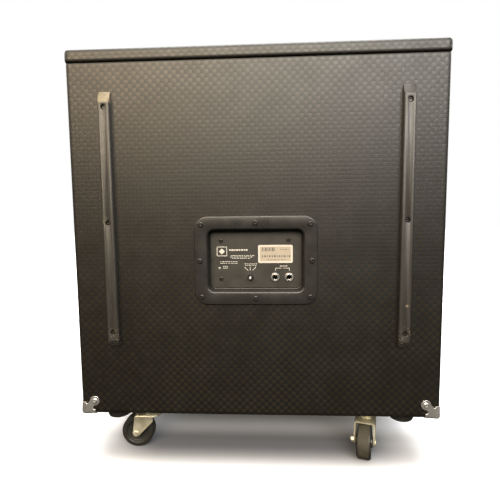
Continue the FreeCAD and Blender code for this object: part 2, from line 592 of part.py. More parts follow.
def caster_fork():
    """Stamped fork with its lower race, trailing along +X."""
    race_top = Z_BOTTOM - 8 - RACE_GAP
    fork = spin([(0, race_top), (19, race_top), (19, race_top - 3), (15, race_top - 9), (13, race_top - 10),
                 (13, CROWN_TOP - 1), (0, CROWN_TOP - 1)], "Z", (0, 0, 0))
    half = FORK_W / 2
    crown = rod(half, (0, 0, CROWN_UNDER), (0, 0, CROWN_TOP))
    crown = crown.fuse(box(0, TRAIL + 2, -half, half, CROWN_UNDER, CROWN_TOP))
    fork = fork.fuse(crown)
    tip_r = 5.7
    shoulder = (TRAIL - 27, 45.0)
    reach = math.hypot(TRAIL - shoulder[0], WHEEL_R - shoulder[1])
    slope = math.atan2(WHEEL_R - shoulder[1], TRAIL - shoulder[0]) - math.asin(tip_r / reach)
    run = math.sqrt(reach ** 2 - tip_r ** 2)
    low = (shoulder[0] + run * math.cos(slope), shoulder[1] + run * math.sin(slope))
    outline = [(shoulder[0], CROWN_TOP), (TRAIL + 2, CROWN_TOP), (TRAIL + tip_r, WHEEL_R), (TRAIL, WHEEL_R),
               low, shoulder]
    for y in (-half, half - LEG_T):
        leg = prism([(x, y, z) for x, z in outline], (0, LEG_T, 0))
        leg = leg.fuse(rod(tip_r, (TRAIL, y, WHEEL_R), (TRAIL, y + LEG_T, WHEEL_R)))
        fork = fork.fuse(leg)
    fork = fork.cut(rod(KINGPIN_R + RUN, (0, 0, CROWN_UNDER - 10), (0, 0, Z_BOTTOM)))
    return fork.cut(rod(AXLE_R, (TRAIL, -half - 1, WHEEL_R), (TRAIL, half + 1, WHEEL_R)))


def caster_axle():
    """Axle with a low round head on one side of the fork, and a nut and its bare end on the other."""
    half, corner = FORK_W / 2, 8.0 / math.sqrt(3)
    axle = rod(AXLE_R, (TRAIL, -half - 5.2, WHEEL_R), (TRAIL, half, WHEEL_R))
    points = [(TRAIL + corner * math.cos(math.radians(60 * k)), -half - 3.6,
               WHEEL_R + corner * math.sin(math.radians(60 * k))) for k in range(6)]
    head = rod(4.6, (TRAIL, half, WHEEL_R), (TRAIL, half + 1.8, WHEEL_R))
    head = round_edges(head, 1.2, keep=lambda e: e.BoundBox.YMin > half + 1.8 - 1e-6)
    return axle.fuse(prism(points, (0, 3.6, 0))).fuse(head)


def caster_wheel():
    centre = (TRAIL, 0, WHEEL_R)
    boss, web, rim = FORK_W / 2 - LEG_T - 0.3, 6.0, WHEEL_WIDTH / 2
    hub = spin([(AXLE_R + RUN, -boss), (8, -boss), (9, -web), (16, -web), (17.5, -rim), (HUB_R, -rim),
                (HUB_R, rim), (17.5, rim), (16, web), (9, web), (8, boss), (AXLE_R + RUN, boss)],
               "Y", centre)
    tyre = spin([(HUB_R, -rim), (WHEEL_R - 1.6, -rim), (WHEEL_R - 0.5, -rim + 1.0), (WHEEL_R, -rim + 3.2),
                 (WHEEL_R, rim - 3.2), (WHEEL_R - 0.5, rim - 1.0), (WHEEL_R - 1.6, rim), (HUB_R, rim)],
                "Y", centre)
    return hub, tyre


def make_casters():
    plates, pins = [], []
    for name, turn in CASTER_TURN.items():
        x = CASTER_X if "left" in name else -CASTER_X
        y = Y_BACK - CASTER_IN if "back" in name else Y_FRONT + CASTER_IN
        plate, pin, four = caster_fixed()
        for shape in (plate, pin, *four):
            shape.translate(V(x, y, 0))
        plates.append(plate)
        pins.append(pin)
        SCREWS.extend(four)
        hub, tyre = caster_wheel()
        moving = (("caster_fork_", caster_fork()), ("caster_axle_", caster_axle()),
                  ("wheel_hub_", hub), ("wheel_tyre_", tyre))
        for prefix, shape in moving:
            shape.rotate(V(0, 0, 0), V(0, 0, 1), turn)
            shape.translate(V(x, y, 0))
            add(prefix + name, shape)
    for x in (FOOT_X, -FOOT_X):
        for y in (Y_BACK - FOOT_IN, Y_FRONT + FOOT_IN):
            SCREWS.append(pan_screw(4.0, 2.4, 2.0, 24, (x, y, Z_BOTTOM - 9), (0, 0, -1)))
    add("caster_plates", *plates, *pins)


def main():
    make_carcass()
    make_lining()
    make_lid()
    make_grille()
    make_woofer()
    make_horn_and_ports()
    make_jack_plate()
    make_controls()
    make_crossover()
    make_wiring()
    make_rails()
    make_corners()
    make_feet()
    make_handles()
    make_latches()
    make_casters()
    add("cabinet_screws", *SCREWS)
    os.makedirs("parts", exist_ok=True)
    for name, shape in NODES.items():
        shape.exportStep("parts/" + name + ".step")
    print(len(NODES), "nodes")


main()
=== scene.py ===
"""Looks of the bass speaker cabinet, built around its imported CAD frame.

Metres, +Z up, grille at -Y, jack plate at +Y. Shapes are written in millimetres and scaled by MM.
"""

import itertools
import json
import math

import bmesh
import bpy
from mathutils import Matrix, Vector


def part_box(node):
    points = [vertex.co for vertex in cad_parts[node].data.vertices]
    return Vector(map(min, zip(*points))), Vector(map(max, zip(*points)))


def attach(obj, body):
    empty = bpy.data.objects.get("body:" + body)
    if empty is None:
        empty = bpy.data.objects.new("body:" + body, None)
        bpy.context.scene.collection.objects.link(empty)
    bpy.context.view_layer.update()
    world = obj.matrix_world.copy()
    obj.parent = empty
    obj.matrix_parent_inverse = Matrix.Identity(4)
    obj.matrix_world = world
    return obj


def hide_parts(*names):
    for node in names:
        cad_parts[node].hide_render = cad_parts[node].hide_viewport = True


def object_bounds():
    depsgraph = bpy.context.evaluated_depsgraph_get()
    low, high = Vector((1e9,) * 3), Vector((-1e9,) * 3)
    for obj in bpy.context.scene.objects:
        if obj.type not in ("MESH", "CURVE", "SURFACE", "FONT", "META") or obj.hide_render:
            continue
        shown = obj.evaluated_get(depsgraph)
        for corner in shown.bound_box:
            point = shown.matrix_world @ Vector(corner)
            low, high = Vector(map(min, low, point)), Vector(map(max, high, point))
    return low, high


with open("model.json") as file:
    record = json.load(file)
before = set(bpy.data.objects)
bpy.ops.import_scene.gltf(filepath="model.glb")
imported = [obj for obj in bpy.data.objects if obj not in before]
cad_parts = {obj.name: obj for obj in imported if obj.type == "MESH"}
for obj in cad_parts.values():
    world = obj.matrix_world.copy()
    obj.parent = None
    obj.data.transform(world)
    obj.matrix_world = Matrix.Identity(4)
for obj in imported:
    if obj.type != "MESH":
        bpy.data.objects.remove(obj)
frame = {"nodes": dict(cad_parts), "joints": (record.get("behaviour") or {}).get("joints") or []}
NODES = frame["nodes"]
CAD_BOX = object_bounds()
MM = 0.001


def span(node):
    """A node's lowest and highest corner in millimetres."""
    low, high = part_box(node)
    return low / MM, high / MM


# ---- camera, light and floor -----------------------------------------------------------------------
CAMERA_AT = (-0.0179, 0.71185, 0.3611)
CAMERA_TURN = (84.9663, 0.6084, -177.2163)
CAMERA_LENS = 27.07


def make_camera():
    data = bpy.data.cameras.new("camera")
    data.lens, data.sensor_width = CAMERA_LENS, 36.0
    data.clip_start, data.clip_end = 0.01, 60.0
    camera = bpy.data.objects.new("camera", data)
    camera.location = CAMERA_AT
    camera.rotation_euler = [math.radians(a) for a in CAMERA_TURN]
    bpy.context.scene.collection.objects.link(camera)
    bpy.context.scene.camera = camera


def area_light(name, at, aim, size, power, colour):
    data = bpy.data.lights.new(name, "AREA")
    data.shape, data.size, data.size_y = "RECTANGLE", size[0], size[1]
    data.energy, data.color = power, colour
    lamp = bpy.data.objects.new(name, data)
    lamp.location = at
    lamp.rotation_euler = (Vector(aim) - Vector(at)).to_track_quat("-Z", "Y").to_euler()
    bpy.context.scene.collection.objects.link(lamp)


def make_lights():
    # a wide panel high behind the camera, warm at one end, which the back's gloss picks up towards its top
    for name, x, power, colour in (("key_warm", 1.2, 66.0, (1.0, 0.78, 0.52)),
                                   ("key", 0.0, 72.0, (1.0, 0.90, 0.73)),
                                   ("key_cool", -1.2, 66.0, (1.0, 0.97, 0.92))):
        area_light(name, (x, 2.4, 1.8), (x * 0.3, 0.2, 0.45), (1.2, 1.3), power, colour)
    area_light("top", (0.0, 0.0, 3.0), (0.0, 0.0, 0.0), (2.4, 2.4), 130.0, (1.0, 0.98, 0.96))
    area_light("front", (0.0, -2.4, 1.8), (0.0, -0.2, 0.4), (3.4, 1.3), 60.0, (1.0, 0.97, 0.93))
    area_light("side_left", (2.5, 0.0, 1.8), (0.2, 0.0, 0.4), (2.6, 1.1), 24.0, (1.0, 0.95, 0.88))
    area_light("side_right", (-2.5, 0.0, 1.8), (-0.2, 0.0, 0.4), (2.6, 1.1), 24.0, (1.0, 0.98, 0.95))


def make_world():
    world = bpy.data.worlds.new("studio")
    world.use_nodes = True
    bpy.context.scene.world = world
    t = Tree(world.node_tree)
    t.tree.nodes.clear()
    # what lights the object: dark below the horizon, brighter towards the ceiling
    direction = t.node("ShaderNodeTexCoord").outputs["Generated"]
    height = t.node("ShaderNodeSeparateXYZ", {0: direction}).outputs["Z"]
    around = t.node("ShaderNodeBackground", {"Color": (1.0, 0.88, 0.70),
                                             "Strength": t.span(height, -0.25, 0.75, 0.07, 0.58)})
    seen = t.node("ShaderNodeBackground", {"Color": (1.0, 1.0, 1.0)})
    in_camera = t.node("ShaderNodeLightPath").outputs["Is Camera Ray"]
    pick = t.node("ShaderNodeMixShader", {0: in_camera, 1: around.outputs[0], 2: seen.outputs[0]})
    t.node("ShaderNodeOutputWorld", {"Surface": pick.outputs[0]})


# ---- materials -------------------------------------------------------------------------------------
class Tree:
    """A node tree, and a short way to add a node with its settings and what feeds it."""

    def __init__(self, tree):
        self.tree = tree

    def feed(self, socket, value):
        if isinstance(value, bpy.types.NodeSocket):
            self.tree.links.new(value, socket)
        elif socket.type == "RGBA":
            socket.default_value = (*value, 1.0)
        else:
            socket.default_value = value

    def node(self, kind, inputs=(), **settings):
        made = self.tree.nodes.new(kind)
        for key, value in settings.items():
            setattr(made, key, value)
        for key, value in dict(inputs).items():
            self.feed(made.inputs[key], value)
        return made

    def span(self, value, low, high, to_low=0.0, to_high=1.0):
        """Smooth step from to_low to to_high as value goes from low to high."""
        return self.node("ShaderNodeMapRange", {"Value": value, "From Min": low, "From Max": high,
                                                "To Min": to_low, "To Max": to_high},
                         interpolation_type="SMOOTHSTEP").outputs["Result"]


class Shader(Tree):
    """A material with one Principled surface, and short ways to build what drives it."""

    def __init__(self, name, metal=0.0, **sockets):
        self.material = bpy.data.materials.new(name)
        self.material.use_nodes = True
        super().__init__(self.material.node_tree)
        self.surface = self.tree.nodes["Principled BSDF"]
        self.set("Metallic", metal)
        for key, value in sockets.items():
            self.set(key.replace("_", " "), value)
        self.spot = None

    def set(self, key, value):
        self.feed(self.surface.inputs[key], value)

    def look(self, colour, rough, normal=None):
        self.set("Base Color", colour)
        self.set("Roughness", rough)
        if normal is not None:
            self.set("Normal", normal)

    def point(self):
        """Place on the object at rest, in metres."""
        if self.spot is None:
            self.spot = self.node("ShaderNodeTexCoord").outputs["Object"]
        return self.spot

    def axis(self, letter, vector=None):
        return self.node("ShaderNodeSeparateXYZ", {0: vector or self.point()}).outputs[letter]

    def attribute(self, name):
        return self.node("ShaderNodeAttribute", attribute_name=name).outputs["Vector"]

    def scaled(self, x, y, z, vector=None):
        inputs = {"Vector": vector or self.point(), "Scale": (x, y, z)}
        return self.node("ShaderNodeMapping", inputs).outputs[0]

    def noise(self, scale, detail=3.0, rough=0.5, vector=None):
        return self.node("ShaderNodeTexNoise", {"Vector": vector or self.point(), "Scale": scale,
                                                "Detail": detail, "Roughness": rough}).outputs["Fac"]

    def cells(self, scale):
        return self.node("ShaderNodeTexVoronoi", {"Vector": self.point(),
                                                  "Scale": scale}).outputs["Distance"]

    def bands(self, scale, direction):
        return self.node("ShaderNodeTexWave", {"Vector": self.point(), "Scale": scale},
                         bands_direction=direction).outputs["Fac"]

    def math(self, op, a, b=0.0, c=0.0, clamp=False):
        return self.node("ShaderNodeMath", {0: a, 1: b, 2: c}, operation=op, use_clamp=clamp).outputs[0]

    def times(self, a, b):
        return self.math("MULTIPLY", a, b)

    def highest(self, *values):
        top = values[0]
        for value in values[1:]:
            top = self.math("MAXIMUM", top, value)
        return top

    def between(self, value, low, high, soft):
        return self.times(self.span(value, low - soft, low + soft),
                          self.span(value, high - soft, high + soft, 1.0, 0.0))

    def mix(self, amount, a, b):
        """Colour from a to b."""
        return self.node("ShaderNodeMix", {0: amount, 6: a, 7: b}, data_type="RGBA").outputs[2]

    def blend(self, amount, a, b):
        """Number from a to b."""
        return self.node("ShaderNodeMix", {0: amount, 2: a, 3: b}, data_type="FLOAT").outputs[0]

    def bump(self, height, distance, strength=1.0, under=None):
        inputs = {"Height": height, "Distance": distance, "Strength": strength}
        if under is not None:
            inputs["Normal"] = under
        return self.node("ShaderNodeBump", inputs).outputs["Normal"]


MATERIALS = {}


def material(metal=0.0, **sockets):
    """Runs the function below on a new shader that has its name, and keeps the material."""
    def keep(make):
        shader = Shader(make.__name__, metal, **sockets)
        make(shader)
        MATERIALS[make.__name__] = shader.material
        return make
    return keep


@material()
def vinyl(s):
    weave = s.attribute("weave")
    u, v = s.axis("X", weave), s.axis("Y", weave)
    cell_u, cell_v = s.math("FLOOR", u), s.math("FLOOR", v)
    in_u = s.math("SUBTRACT", s.math("SUBTRACT", u, cell_u), 0.5)
    in_v = s.math("SUBTRACT", s.math("SUBTRACT", v, cell_v), 0.5)
    odd = s.math("PINGPONG", s.math("ADD", cell_u, cell_v), 1.0)
    across, along = s.blend(odd, in_v, in_u), s.blend(odd, in_u, in_v)
    ridge = s.math("SUBTRACT", 1.0, s.times(4.0, s.times(across, across)))
    dip = s.math("SUBTRACT", 1.0, s.math("POWER", s.math("ABSOLUTE", s.times(along, 2.0)), 4.0))
    strand = s.times(ridge, dip)
    one_cell = s.node("ShaderNodeCombineXYZ", {"X": cell_u, "Y": cell_v}).outputs[0]
    own = s.node("ShaderNodeTexWhiteNoise", {"Vector": one_cell}).outputs["Value"]
    pit = s.span(strand, 0.0, 0.45, 1.0, 0.0)
    base = s.mix(own, (0.0072, 0.0055, 0.0030), (0.0112, 0.0086, 0.0050))
    base = s.mix(s.span(s.noise(7.0, 4.0, 0.6), 0.42, 0.72), base, (0.0128, 0.0102, 0.0064))
    # painted shade: strands lying the other way, and the pits between strands, get a darker colour where they
    # would fall into shade, and are rougher so they catch less of the light
    painted_shade = s.highest(s.times(odd, 0.9), s.times(pit, 0.8))
    dull = s.highest(s.times(odd, 0.5), s.times(pit, 0.6))
    rough = s.span(s.noise(30.0), 0.3, 0.7, 0.36, 0.43)
    leather = s.bump(s.noise(2600.0, 3.0, 0.6), 0.00005, 0.4)
    s.look(s.mix(painted_shade, base, (0.0006, 0.0004, 0.0002)), s.blend(dull, rough, 0.52),
           s.bump(strand, 0.00006, 0.85, leather))
    s.set("Specular IOR Level", 0.49)


@material()
def painted_ply(s):
    grain = s.noise(60.0, 5.0, 0.6, s.scaled(1.0, 1.0, 0.06))
    s.look(s.mix(grain, (0.012, 0.011, 0.010), (0.024, 0.022, 0.020)), s.span(grain, 0.3, 0.7, 0.62, 0.78),
           s.bump(grain, 0.0004, 0.5))


@material()
def bare_ply(s):
    """The unpainted inside of the panels, and their cut edges."""
    plies = s.noise(3.0, 2.0, 0.5, s.scaled(3.0, 3.0, 300.0))
    figure = s.noise(14.0, 5.0, 0.6, s.scaled(1.0, 1.0, 0.12))
    tone = s.mix(figure, (0.40, 0.27, 0.16), (0.56, 0.41, 0.26))
    s.look(s.mix(s.times(plies, 0.35), tone, (0.25, 0.15, 0.08)), s.span(figure, 0.3, 0.7, 0.6, 0.75),
           s.bump(figure, 0.0003, 0.4))


@material()
def socket(s):
    """Black plastic bodies whose threaded collars, in front of the panel, are nickelled."""
    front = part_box("jack_panel")[1].y
    metal = s.span(s.axis("Y"), front - 0.0003, front - 0.0001)
    collar = s.mix(s.noise(90.0), (0.66, 0.62, 0.55), (0.84, 0.82, 0.77))
    s.look(s.mix(metal, (0.012, 0.012, 0.012), collar), s.blend(metal, 0.45, 0.22))
    s.set("Metallic", metal)


@material()
def rail_paint(s):
    """Satin black enamel, worn to bare metal where the rails take the knocks."""
    x, y, z = s.axis("X"), s.axis("Y"), s.axis("Z")
    low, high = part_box("skid_rail_left")
    drag = s.noise(240.0, 4.0, 0.65, s.scaled(1.0, 1.0, 0.10))
    fleck = s.noise(520.0, 3.0, 0.6)
    left = s.span(x, -0.01, 0.01)
    # upper ramp of the left rail: bare almost to its edges
    ramp = s.times(s.times(left, s.span(z, high.z - 0.017, high.z - 0.0125)), s.span(fleck, 0.30, 0.40))
    # long scuffs down the outer edge of the left rail, short ones at its middle and at each rail's foot
    edge = s.between(x, high.x - 0.0042, high.x - 0.0006, 0.0008)
    long_scuff = s.times(s.times(edge, s.span(drag, 0.53, 0.66)),
                         s.between(z, high.z - 0.085, high.z - 0.012, 0.01))
    middle = s.times(s.times(s.between(z, 0.350, 0.372, 0.01), s.span(drag, 0.60, 0.70)), left)
    foot = s.times(s.between(z, low.z + 0.002, low.z + 0.030, 0.006), s.span(fleck, 0.57, 0.66))
    # a chip on the outer edge of the right rail
    chip = s.times(s.between(z, 0.2385, 0.2415, 0.0008),
                   s.between(x, -high.x + 0.0045, -high.x + 0.0075, 0.0008))
    worn = s.highest(ramp, long_scuff, middle, foot, chip)
    worn = s.math("MULTIPLY", worn, s.span(y, high.y - 0.0085, high.y - 0.0060), clamp=True)
    black = s.mix(s.noise(25.0, 4.0), (0.017, 0.016, 0.0145), (0.030, 0.0275, 0.025))
    metal = s.mix(fleck, (0.12, 0.10, 0.065), (0.25, 0.22, 0.15))
    scrape = s.bump(s.math("SUBTRACT", 1.0, worn), 0.00012, 0.6)
    s.look(s.mix(worn, black, metal), s.blend(worn, s.span(drag, 0.3, 0.7, 0.38, 0.52), 0.55),
           s.bump(drag, 0.00010, 0.4, scrape))
    s.set("Metallic", s.times(worn, 0.4))


@material(metal=0.85)
def nickel(s):
    dull = s.noise(45.0)
    s.look(s.mix(dull, (0.54, 0.53, 0.53), (0.65, 0.65, 0.66)), s.span(dull, 0.35, 0.7, 0.24, 0.34),
           s.bump(s.noise(300.0, 2.0), 0.00002, 0.2))


@material(metal=0.75)
def zinc(s):
    """Zinc plate with its yellowish passivated bloom."""
    bloom = s.noise(70.0, 4.0, 0.6)
    fine = s.noise(420.0, 3.0, 0.6)
    tone = s.mix(s.span(bloom, 0.35, 0.68), (0.60, 0.57, 0.42), (0.74, 0.72, 0.60))
    s.look(s.mix(s.span(fine, 0.60, 0.75), tone, (0.46, 0.44, 0.35)), s.span(bloom, 0.3, 0.7, 0.36, 0.50),
           s.bump(fine, 0.00005, 0.4))


@material()
def wheel_rubber(s):
    """Black tyre whose tread, away from its sides, is grey-brown with dust."""
    tread = s.axis("X", s.attribute("tread"))
    patch = s.noise(160.0, 4.0, 0.6)
    fleck = s.noise(900.0, 3.0, 0.6)
    dust = s.math("MULTIPLY", tread, s.span(patch, 0.28, 0.62, 0.45, 1.0), clamp=True)
    clean = s.mix(patch, (0.010, 0.010, 0.009), (0.022, 0.021, 0.018))
    dirt = s.mix(fleck, (0.026, 0.022, 0.014), (0.062, 0.054, 0.038))
    s.look(s.mix(dust, clean, dirt), s.blend(dust, 0.42, 0.86), s.bump(fleck, 0.00010, 0.5))


def over_and_under(s, u, v, turns):
    """Height of woven threads, 0 to 1, where u and v are counted in threads over turns."""
    warp, weft = (s.math("SINE", s.times(along, turns)) for along in (u, v))
    return s.math("MULTIPLY_ADD", s.times(warp, weft), 0.5, 0.5)


@material(Sheen_Weight=0.06, Sheen_Roughness=0.5, Specular_IOR_Level=0.25)
def grille_cloth(s):
    """Black woven speaker cloth: over-and-under threads a millimetre apart."""
    weave = s.attribute("weave")
    thread = over_and_under(s, s.axis("X", weave), s.axis("Y", weave), 2 * math.pi)
    slub = s.noise(4.0, 3.0, 0.6, s.scaled(0.02, 0.6, 1.0, weave))
    colour = s.mix(thread, (0.002, 0.002, 0.002), (0.012, 0.0115, 0.011))
    s.look(s.mix(s.times(slub, 0.35), colour, (0.019, 0.018, 0.017)), s.span(slub, 0.3, 0.7, 0.75, 0.9),
           s.bump(thread, 0.00035, 0.9))


@material()
def treated_cloth(s):
    thread = over_and_under(s, s.axis("X"), s.axis("Z"), 5200.0)
    s.look(s.mix(thread, (0.020, 0.018, 0.015), (0.060, 0.052, 0.042)), s.span(thread, 0.0, 1.0, 0.7, 0.5),
           s.bump(thread, 0.0002, 0.6))


@material()
def foam_seal(s):
    pores = s.cells(700.0)
    s.look(s.mix(pores, (0.012, 0.012, 0.012), (0.045, 0.043, 0.040)), s.span(pores, 0.0, 0.6, 0.95, 0.8),
           s.bump(pores, 0.0006, 0.7))


@material(Sheen_Weight=0.4)
def wadding(s):
    fluff = s.noise(180.0, 6.0, 0.7)
    s.look(s.mix(fluff, (0.45, 0.44, 0.42), (0.78, 0.77, 0.74)), s.span(fluff, 0.3, 0.7, 0.85, 1.0),
           s.bump(fluff, 0.003, 0.9))


@material()
def magnet_steel(s):
    grit = s.noise(350.0, 4.0, 0.65)
    s.look(s.mix(grit, (0.05, 0.05, 0.052), (0.13, 0.13, 0.13)), s.span(grit, 0.3, 0.7, 0.5, 0.7),
           s.bump(grit, 0.0002, 0.4))
    s.set("Metallic", s.span(grit, 0.3, 0.7, 0.2, 0.6))


@material(metal=1.0)
def copper_coil(s):
    turns = s.bands(900.0, "Y")
    s.look(s.mix(turns, (0.45, 0.16, 0.06), (0.92, 0.45, 0.22)), s.span(turns, 0.0, 1.0, 0.45, 0.28),
           s.bump(turns, 0.0002, 0.6))


@material()
def circuit_board(s):
    """Green board; the parts above it are told apart by how far they stand from it."""
    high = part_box("crossover_board")[1]
    part = s.span(s.axis("Y"), high.y - 0.0345, high.y - 0.0335, 1.0, 0.0)
    winding = s.bands(400.0, "Z")
    board = s.mix(s.span(s.cells(150.0), 0.25, 0.3), (0.03, 0.12, 0.05), (0.02, 0.07, 0.03))
    s.look(s.mix(part, board, s.mix(winding, (0.38, 0.15, 0.06), (0.75, 0.36, 0.18))),
           s.span(winding, 0.0, 1.0, 0.45, 0.35), s.bump(winding, 0.0003, 0.4))


@material()
def floor_paint(s):
    # painted shadow: under the object the floor is painted greyer, darkest towards its back edge
    low, high = CAD_BOX
    x, y = s.axis("X"), s.axis("Y")
    under = s.times(s.between(x, low.x + 0.015, high.x - 0.015, 0.10),
                    s.between(y, low.y, high.y - 0.022, 0.042))
    shadow_grey = s.mix(s.span(y, high.y - 0.13, high.y - 0.08), (0.57, 0.60, 0.67), (0.112, 0.118, 0.140))
    pale = s.mix(s.noise(1.5), (0.78, 0.82, 0.90), (0.80, 0.84, 0.92))
    s.look(s.mix(under, pale, shadow_grey), s.span(s.noise(4.0), 0.3, 0.7, 0.75, 0.85))
    s.set("Specular IOR Level", 0.2)
    # away from the object the floor turns into the white of the backdrop
    away = s.node("ShaderNodeVectorMath", {0: s.point()}, operation="LENGTH").outputs["Value"]
    s.set("Emission Color", (1.0, 1.0, 1.0))
    s.set("Emission Strength", s.span(away, 0.5, 1.4))


# finishes of one pattern: how metallic; noise and two colours; noise and range of roughness; and for most,
# noise, depth and strength of bump
PLAIN = {
    "black_plastic": (0.0, (18, 4), (0.011, 0.0105, 0.010), (0.021, 0.020, 0.019), (45,), 0.26, 0.38,
                      (900, 2), 0.00010, 0.25),
    "panel_paint": (0.0, (40, 4), (0.015, 0.0135, 0.0115), (0.028, 0.025, 0.021), (60,), 0.42, 0.58,
                    (1500, 2), 0.00006, 0.4),
    "print_white": (0.0, (700,), (0.42, 0.41, 0.38), (0.56, 0.55, 0.51), (300,), 0.5, 0.65),
    "label_paper": (0.0, (120, 4), (0.47, 0.44, 0.39), (0.53, 0.50, 0.45), (90,), 0.40, 0.55,
                    (900, 2), 0.00003, 0.4),
    "label_tint": (0.0, (160, 4), (0.30, 0.26, 0.205), (0.38, 0.335, 0.27), (90,), 0.42, 0.55),
    "label_ink": (0.0, (300,), (0.06, 0.055, 0.05), (0.12, 0.11, 0.10), (90,), 0.5, 0.6),
    "black_screws": (0.3, (600,), (0.012, 0.011, 0.010), (0.038, 0.035, 0.032), (400,), 0.16, 0.26,
                     (1800,), 0.00004, 0.5),
    "latch_steel": (1.0, (60,), (0.46, 0.45, 0.42), (0.58, 0.57, 0.54), (90,), 0.30, 0.40,
                    (700,), 0.00003, 0.3),
    "foot_rubber": (0.0, (60, 4), (0.010, 0.0095, 0.009), (0.026, 0.024, 0.021), (90,), 0.62, 0.80,
                    (1200,), 0.00008, 0.5),
    "wheel_plastic": (0.0, (90,), (0.012, 0.012, 0.011), (0.030, 0.029, 0.025), (140,), 0.30, 0.46,
                      (1100,), 0.00006, 0.4),
    "black_steel": (0.3, (50, 4), (0.014, 0.014, 0.014), (0.034, 0.033, 0.032), (220,), 0.38, 0.55,
                    (1300,), 0.00005, 0.4),
    "cone_paper": (0.0, (420, 5, 0.7), (0.018, 0.017, 0.016), (0.055, 0.052, 0.049),
                   (420, 5, 0.7), 0.75, 0.9, (420, 5, 0.7), 0.0003, 0.6),
    "wire_sheath": (0.0, (80,), (0.35, 0.02, 0.015), (0.52, 0.04, 0.03), (200,), 0.4, 0.55),
}


def make_plain_materials():
    for name, (metal, tone, first, second, gloss, least, most, *relief) in PLAIN.items():
        s = Shader(name, metal)
        normal = s.bump(s.noise(*relief[0]), relief[1], relief[2]) if relief else None
        s.look(s.mix(s.noise(*tone), first, second), s.span(s.noise(*gloss), 0.3, 0.7, least, most), normal)
        MATERIALS[name] = s.material


make_plain_materials()


# ---- building pieces -------------------------------------------------------------------------------
EDGE_ANGLE = 32.0       # degrees from which an edge is sharp


class Form:
    """Collects the points, in millimetres, and the faces of one piece."""

    def __init__(self):
        self.points, self.faces, self.finish, self.extra = [], [], [], []

    def add(self, points, faces, finish=0, extra=None):
        """finish is a material's number, or one for each face; extra is a vector for each point."""
        start = len(self.points)
        self.points += [Vector(p) for p in points]
        faces = [[start + k for k in face] for face in faces]
        self.faces += faces
        self.finish += finish if isinstance(finish, list) else [finish] * len(faces)
        self.extra += extra or [(0.0, 0.0, 0.0)] * len(points)
        return self

    def put(self, other, matrix):
        """Adds another form moved by a matrix; the faces of a mirrored one are turned back."""
        turn = -1 if matrix.determinant() < 0 else 1
        return self.add([matrix @ p for p in other.points], [face[::turn] for face in other.faces],
                        other.finish, other.extra)

    def piece(self, name, materials, body, slot, replaces=(), sharp=EDGE_ANGLE, attribute=None):
        mesh = bpy.data.meshes.new(name)
        mesh.from_pydata([p * MM for p in self.points], [], self.faces)
        for one in materials if isinstance(materials, (list, tuple)) else [materials]:
            mesh.materials.append(MATERIALS[one])
        mesh.polygons.foreach_set("material_index", self.finish)
        if attribute:
            layer = mesh.attributes.new(attribute, "FLOAT_VECTOR", "POINT")
            layer.data.foreach_set("vector", [c for e in self.extra for c in e])
        return place(name, mesh, body, slot, replaces, sharp)


def place(name, mesh, body, slot, replaces=(), sharp=EDGE_ANGLE):
    mesh.validate()
    mesh.shade_smooth()
    mesh.set_sharp_from_angle(angle=math.radians(sharp))
    piece = bpy.data.objects.new(name, mesh)
    bpy.context.scene.collection.objects.link(piece)
    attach(piece, body)
    if replaces:
        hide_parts(*replaces)
    return piece


def on_circle(x, y, r, a):
    return x + r * math.cos(a), y + r * math.sin(a)


def grown(w, h, rows):
    """Sizes for rect_rings from rows of (growth over w and h, corner radius, height)."""
    return [(w + more, h + more, r, d) for more, r, d in rows]


def quads(rows, across, closed=False):
    """Faces over rows of points; a closed grid joins its last row to its first."""
    for i in range(rows if closed else rows - 1):
        a, b = i * across, (i + 1) % rows * across
        for j in range(across - 1):
            yield [a + j, b + j, b + j + 1, a + j + 1]


def loft(rings, closed=False, capped=False, flip=False):
    """Points and faces of rings with equal counts, joined one to the next."""
    count = len(rings[0])
    points = [p for ring in rings for p in ring]
    faces = []
    for k in range(len(rings) if closed else len(rings) - 1):
        a, b = k * count, ((k + 1) % len(rings)) * count
        faces += [[a + i, a + (i + 1) % count, b + (i + 1) % count, b + i] for i in range(count)]
    if capped:
        faces.append(list(range(count))[::-1])
        faces.append([(len(rings) - 1) * count + i for i in range(count)])
    return points, [face[::-1] for face in faces] if flip else faces


def lathe(outline, steps=64, closed=True):
    """Turns (radius, height) points about Z; radius 0 makes a pole. A closed outline makes a solid."""
    area = sum(a[0] * b[1] - b[0] * a[1] for a, b in zip(outline, outline[1:] + outline[:1]))
    if area < 0:
        outline = outline[::-1]
    points, rows = [], []
    for r, h in outline:
        if r < 1e-6:
            rows.append([len(points)] * steps)
            points.append((0.0, 0.0, h))
        else:
            rows.append(list(range(len(points), len(points) + steps)))
            points += [(r * math.cos(2 * math.pi * k / steps), r * math.sin(2 * math.pi * k / steps), h)
                       for k in range(steps)]
    faces = []
    for one, two in zip(rows, rows[1:] + rows[:1] if closed else rows[1:]):
        for k in range(steps):
            n = (k + 1) % steps
            face = list(dict.fromkeys((one[k], one[n], two[n], two[k])))
            if len(face) > 2:
                faces.append(face)
    return points, faces


def rounded_rect(w, h, r, steps=7):
    r = max(min(r, w / 2, h / 2), 0.01)
    made = []
    for cx, cy, a0 in ((w / 2 - r, h / 2 - r, 0), (r - w / 2, h / 2 - r, 90),
                       (r - w / 2, r - h / 2, 180), (w / 2 - r, r - h / 2, 270)):
        made += [on_circle(cx, cy, r, math.radians(a0 + 90 * k / steps)) for k in range(steps + 1)]
    return made


def rect_rings(sizes, steps=7):
    """Rings of (width, height, corner radius, height along Z)."""
    return [[(x, y, d) for x, y in rounded_rect(w, h, r, steps)] for w, h, r, d in sizes]


def facing(direction, at):
    """Matrix that stands a shape built along +Z on the point at, pointing along a level direction."""
    out = Vector(direction)
    right = Vector((0, 0, 1)).cross(out).normalized()
    turn = Matrix((right, out.cross(right), out)).transposed().to_4x4()
    return Matrix.Translation(Vector(at)) @ turn


